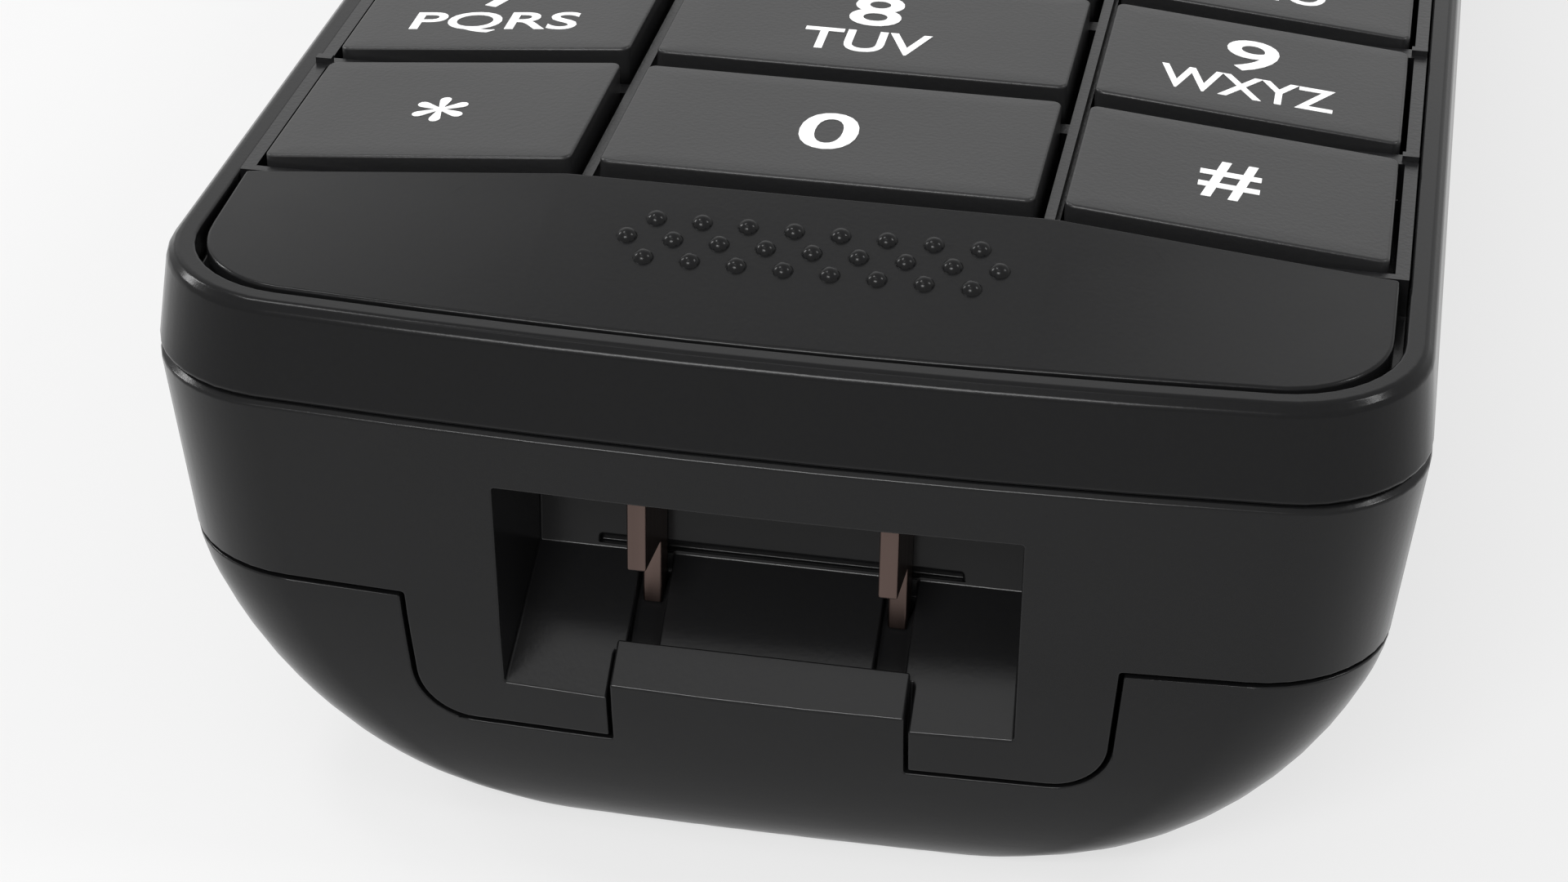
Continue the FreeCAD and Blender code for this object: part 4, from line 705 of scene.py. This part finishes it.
class HANDSET_OT_insides(bpy.types.Operator):
    """Finishes of the cells, the contacts, the board and what else the case holds"""
    bl_idname = "handset.insides"
    bl_label = "Inside"

    def execute(self, context):
        steel = sheet_metal("plated_steel", (0.55, 0.55, 0.54), 0.28, 60)
        paint(steel, "battery_contact_lower", "battery_contact_upper", "shield_can", "case_screws")
        for side in ("left", "right"):
            paint(cell_wrap(f"cell_wrap_{side}", f"battery_cell_{side}"), f"battery_cell_{side}")
        paint(laminate("board_laminate"), "main_board", "antenna")
        paint(moulded_plastic("silicone_rubber", (0.1, 0.1, 0.105), 0.6, 0.3), "key_mat", "microphone_boot",
              "receiver_gasket", "speaker_gasket")
        paint(moulded_plastic("transducer_plastic", (0.03, 0.03, 0.032), 0.45, 0.4), "earpiece_receiver",
              "microphone", "loudspeaker")
        paint(moulded_plastic("natural_nylon", (0.5, 0.48, 0.42), 0.5, 0.4), "contact_carrier")
        paint(moulded_plastic("frosted_guide", (0.7, 0.72, 0.7), 0.5, 0.5), "light_guide")
        lamp = moulded_plastic("lamp_red", (0.32, 0.012, 0.008), 0.2, 0.5, grain_depth=0.001)
        softened("message_lamp", lamp, "lamp_red")
        web = context.scene.handset_colours.web
        grille = moulded_plastic("grille_plastic", web, 0.3, 0.4, grain_depth=0.003)
        softened("earpiece_grille", grille, "panel_black")
        return {"FINISHED"}


class HANDSET_OT_case(bpy.types.Operator):
    """Finishes of the shells, the battery cover, the panels and the web"""
    bl_idname = "handset.case"
    bl_label = "Case and panels"

    def execute(self, context):
        colours = context.scene.handset_colours
        front = moulded_plastic("front_plastic", colours.shell, 0.2, 0.13, grain_depth=0.003)
        softened("front_shell", front, "shell_black")
        shell = moulded_plastic("shell_plastic", colours.shell, 0.22, 0.2, grain_depth=0.003)
        softened("rear_shell", shell, "shell_black")
        softened("battery_cover", shell, "shell_black", body="battery_cover")
        panel = moulded_plastic("panel_plastic", colours.panel, 0.2, 0.14, grain_depth=0.003)
        softened("mic_panel", panel, "panel_black", shortest=DOME_EDGE)
        softened("faceplate", panel, "panel_black")
        paint(moulded_plastic("web_plastic", colours.web, 0.3, 0.35), "keypad_web")
        return {"FINISHED"}


class HANDSET_OT_contacts(bpy.types.Operator):
    """Charging contacts: dull copper strip with rounded edges"""
    bl_idname = "handset.contacts"
    bl_label = "Charging contacts"

    def execute(self, context):
        copper = sheet_metal("contact_copper", context.scene.handset_colours.copper, 0.34, 40)
        for side in ("left", "right"):
            softened(f"charge_contact_{side}", copper, "contact_copper")
        return {"FINISHED"}


class HANDSET_OT_studio(bpy.types.Operator):
    """Pale floor, soft studio light and the camera"""
    bl_idname = "handset.studio"
    bl_label = "Studio"

    def execute(self, context):
        scene = context.scene
        studio, colours = scene.handset_studio, scene.handset_colours
        floor_finish = moulded_plastic("studio_floor", colours.floor, 0.9, 0.1, grain_scale=300,
                                       grain_depth=0.01, tone=0.01)
        shader = floor_finish.node_tree.nodes["Principled BSDF"]
        shader.inputs["Emission Color"].default_value = (1, 1, 1, 1)
        shader.inputs["Emission Strength"].default_value = studio.floor_glow
        corners = [(x * FLOOR_REACH, y * FLOOR_REACH, -FLOOR_DROP)
                   for x, y in ((-1, -1), (1, -1), (1, 1), (-1, 1))]
        piece_from("studio_floor", corners, [(0, 1, 2, 3)], floor_finish)
        world = bpy.data.worlds.new("studio_surround")
        world.use_nodes = True
        background = world.node_tree.nodes["Background"]
        background.inputs["Color"].default_value = (1, 1, 1, 1)
        background.inputs["Strength"].default_value = studio.surround
        scene.world = world
        scene.view_settings.view_transform = "Standard"
        for name, place, width, depth, glow in SOFTBOXES:
            softbox(scene, name, Vector(place), width, depth, glow * studio.softboxes)
        place_camera(scene, studio)
        return {"FINISHED"}


def softbox(scene, name, place, width, depth, glow):
    """A rectangular light that faces the handset: its power is its brightness times pi times its area."""
    light = bpy.data.lights.new(name, "AREA")
    light.shape = "RECTANGLE"
    light.size, light.size_y = width, depth
    light.energy = glow * math.pi * width * depth
    lamp = bpy.data.objects.new(name, light)
    scene.collection.objects.link(lamp)
    lamp.location = place
    lamp.rotation_euler = (-place).to_track_quat("-Z", "Y").to_euler()


def place_camera(scene, studio):
    """The camera looks along the handset, down by its elevation, from a point in front of its lower end."""
    data = bpy.data.cameras.new("studio_camera")
    data.lens = studio.lens
    data.sensor_width = 36
    data.clip_start = 0.005
    ahead = Vector((-math.sin(studio.azimuth) * math.cos(studio.elevation),
                    math.cos(studio.azimuth) * math.cos(studio.elevation), -math.sin(studio.elevation)))
    right = Vector((math.cos(studio.azimuth), math.sin(studio.azimuth), 0))
    up = right.cross(ahead)
    turned = right * math.cos(studio.roll) + up * math.sin(studio.roll)
    up = turned.cross(ahead)
    camera = bpy.data.objects.new("studio_camera", data)
    scene.collection.objects.link(camera)
    aim = Matrix((turned, up, -ahead)).transposed().to_4x4()
    camera.matrix_world = Matrix.Translation(CAMERA_PLACE) @ aim
    scene.camera = camera


class HANDSET_PT_panel(bpy.types.Panel):
    bl_label = "Cordless handset"
    bl_idname = "HANDSET_PT_panel"
    bl_space_type = "VIEW_3D"
    bl_region_type = "UI"
    bl_category = "Handset"

    def draw(self, context):
        scene = context.scene
        for group in (scene.handset_sizes, scene.handset_colours, scene.handset_studio):
            for name in group.__annotations__:
                self.layout.prop(group, name)
        for operator in OPERATORS:
            self.layout.operator(operator.bl_idname)


OPERATORS = (HANDSET_OT_number_keys, HANDSET_OT_number_legends, HANDSET_OT_control_keys,
             HANDSET_OT_navigator, HANDSET_OT_display, HANDSET_OT_case, HANDSET_OT_contacts,
             HANDSET_OT_insides, HANDSET_OT_studio)
CLASSES = (HandsetSizes, HandsetColours, HandsetStudio, *OPERATORS, HANDSET_PT_panel)


def register():
    for kind in CLASSES:
        bpy.utils.register_class(kind)
    bpy.types.Scene.handset_sizes = PointerProperty(type=HandsetSizes)
    bpy.types.Scene.handset_colours = PointerProperty(type=HandsetColours)
    bpy.types.Scene.handset_studio = PointerProperty(type=HandsetStudio)


def unregister():
    del bpy.types.Scene.handset_studio, bpy.types.Scene.handset_colours, bpy.types.Scene.handset_sizes
    for kind in reversed(CLASSES):
        bpy.utils.unregister_class(kind)


def main():
    register()
    for operator in OPERATORS:
        group, name = operator.bl_idname.split(".")
        getattr(getattr(bpy.ops, group), name)()


if __name__ == "__main__":
    main()
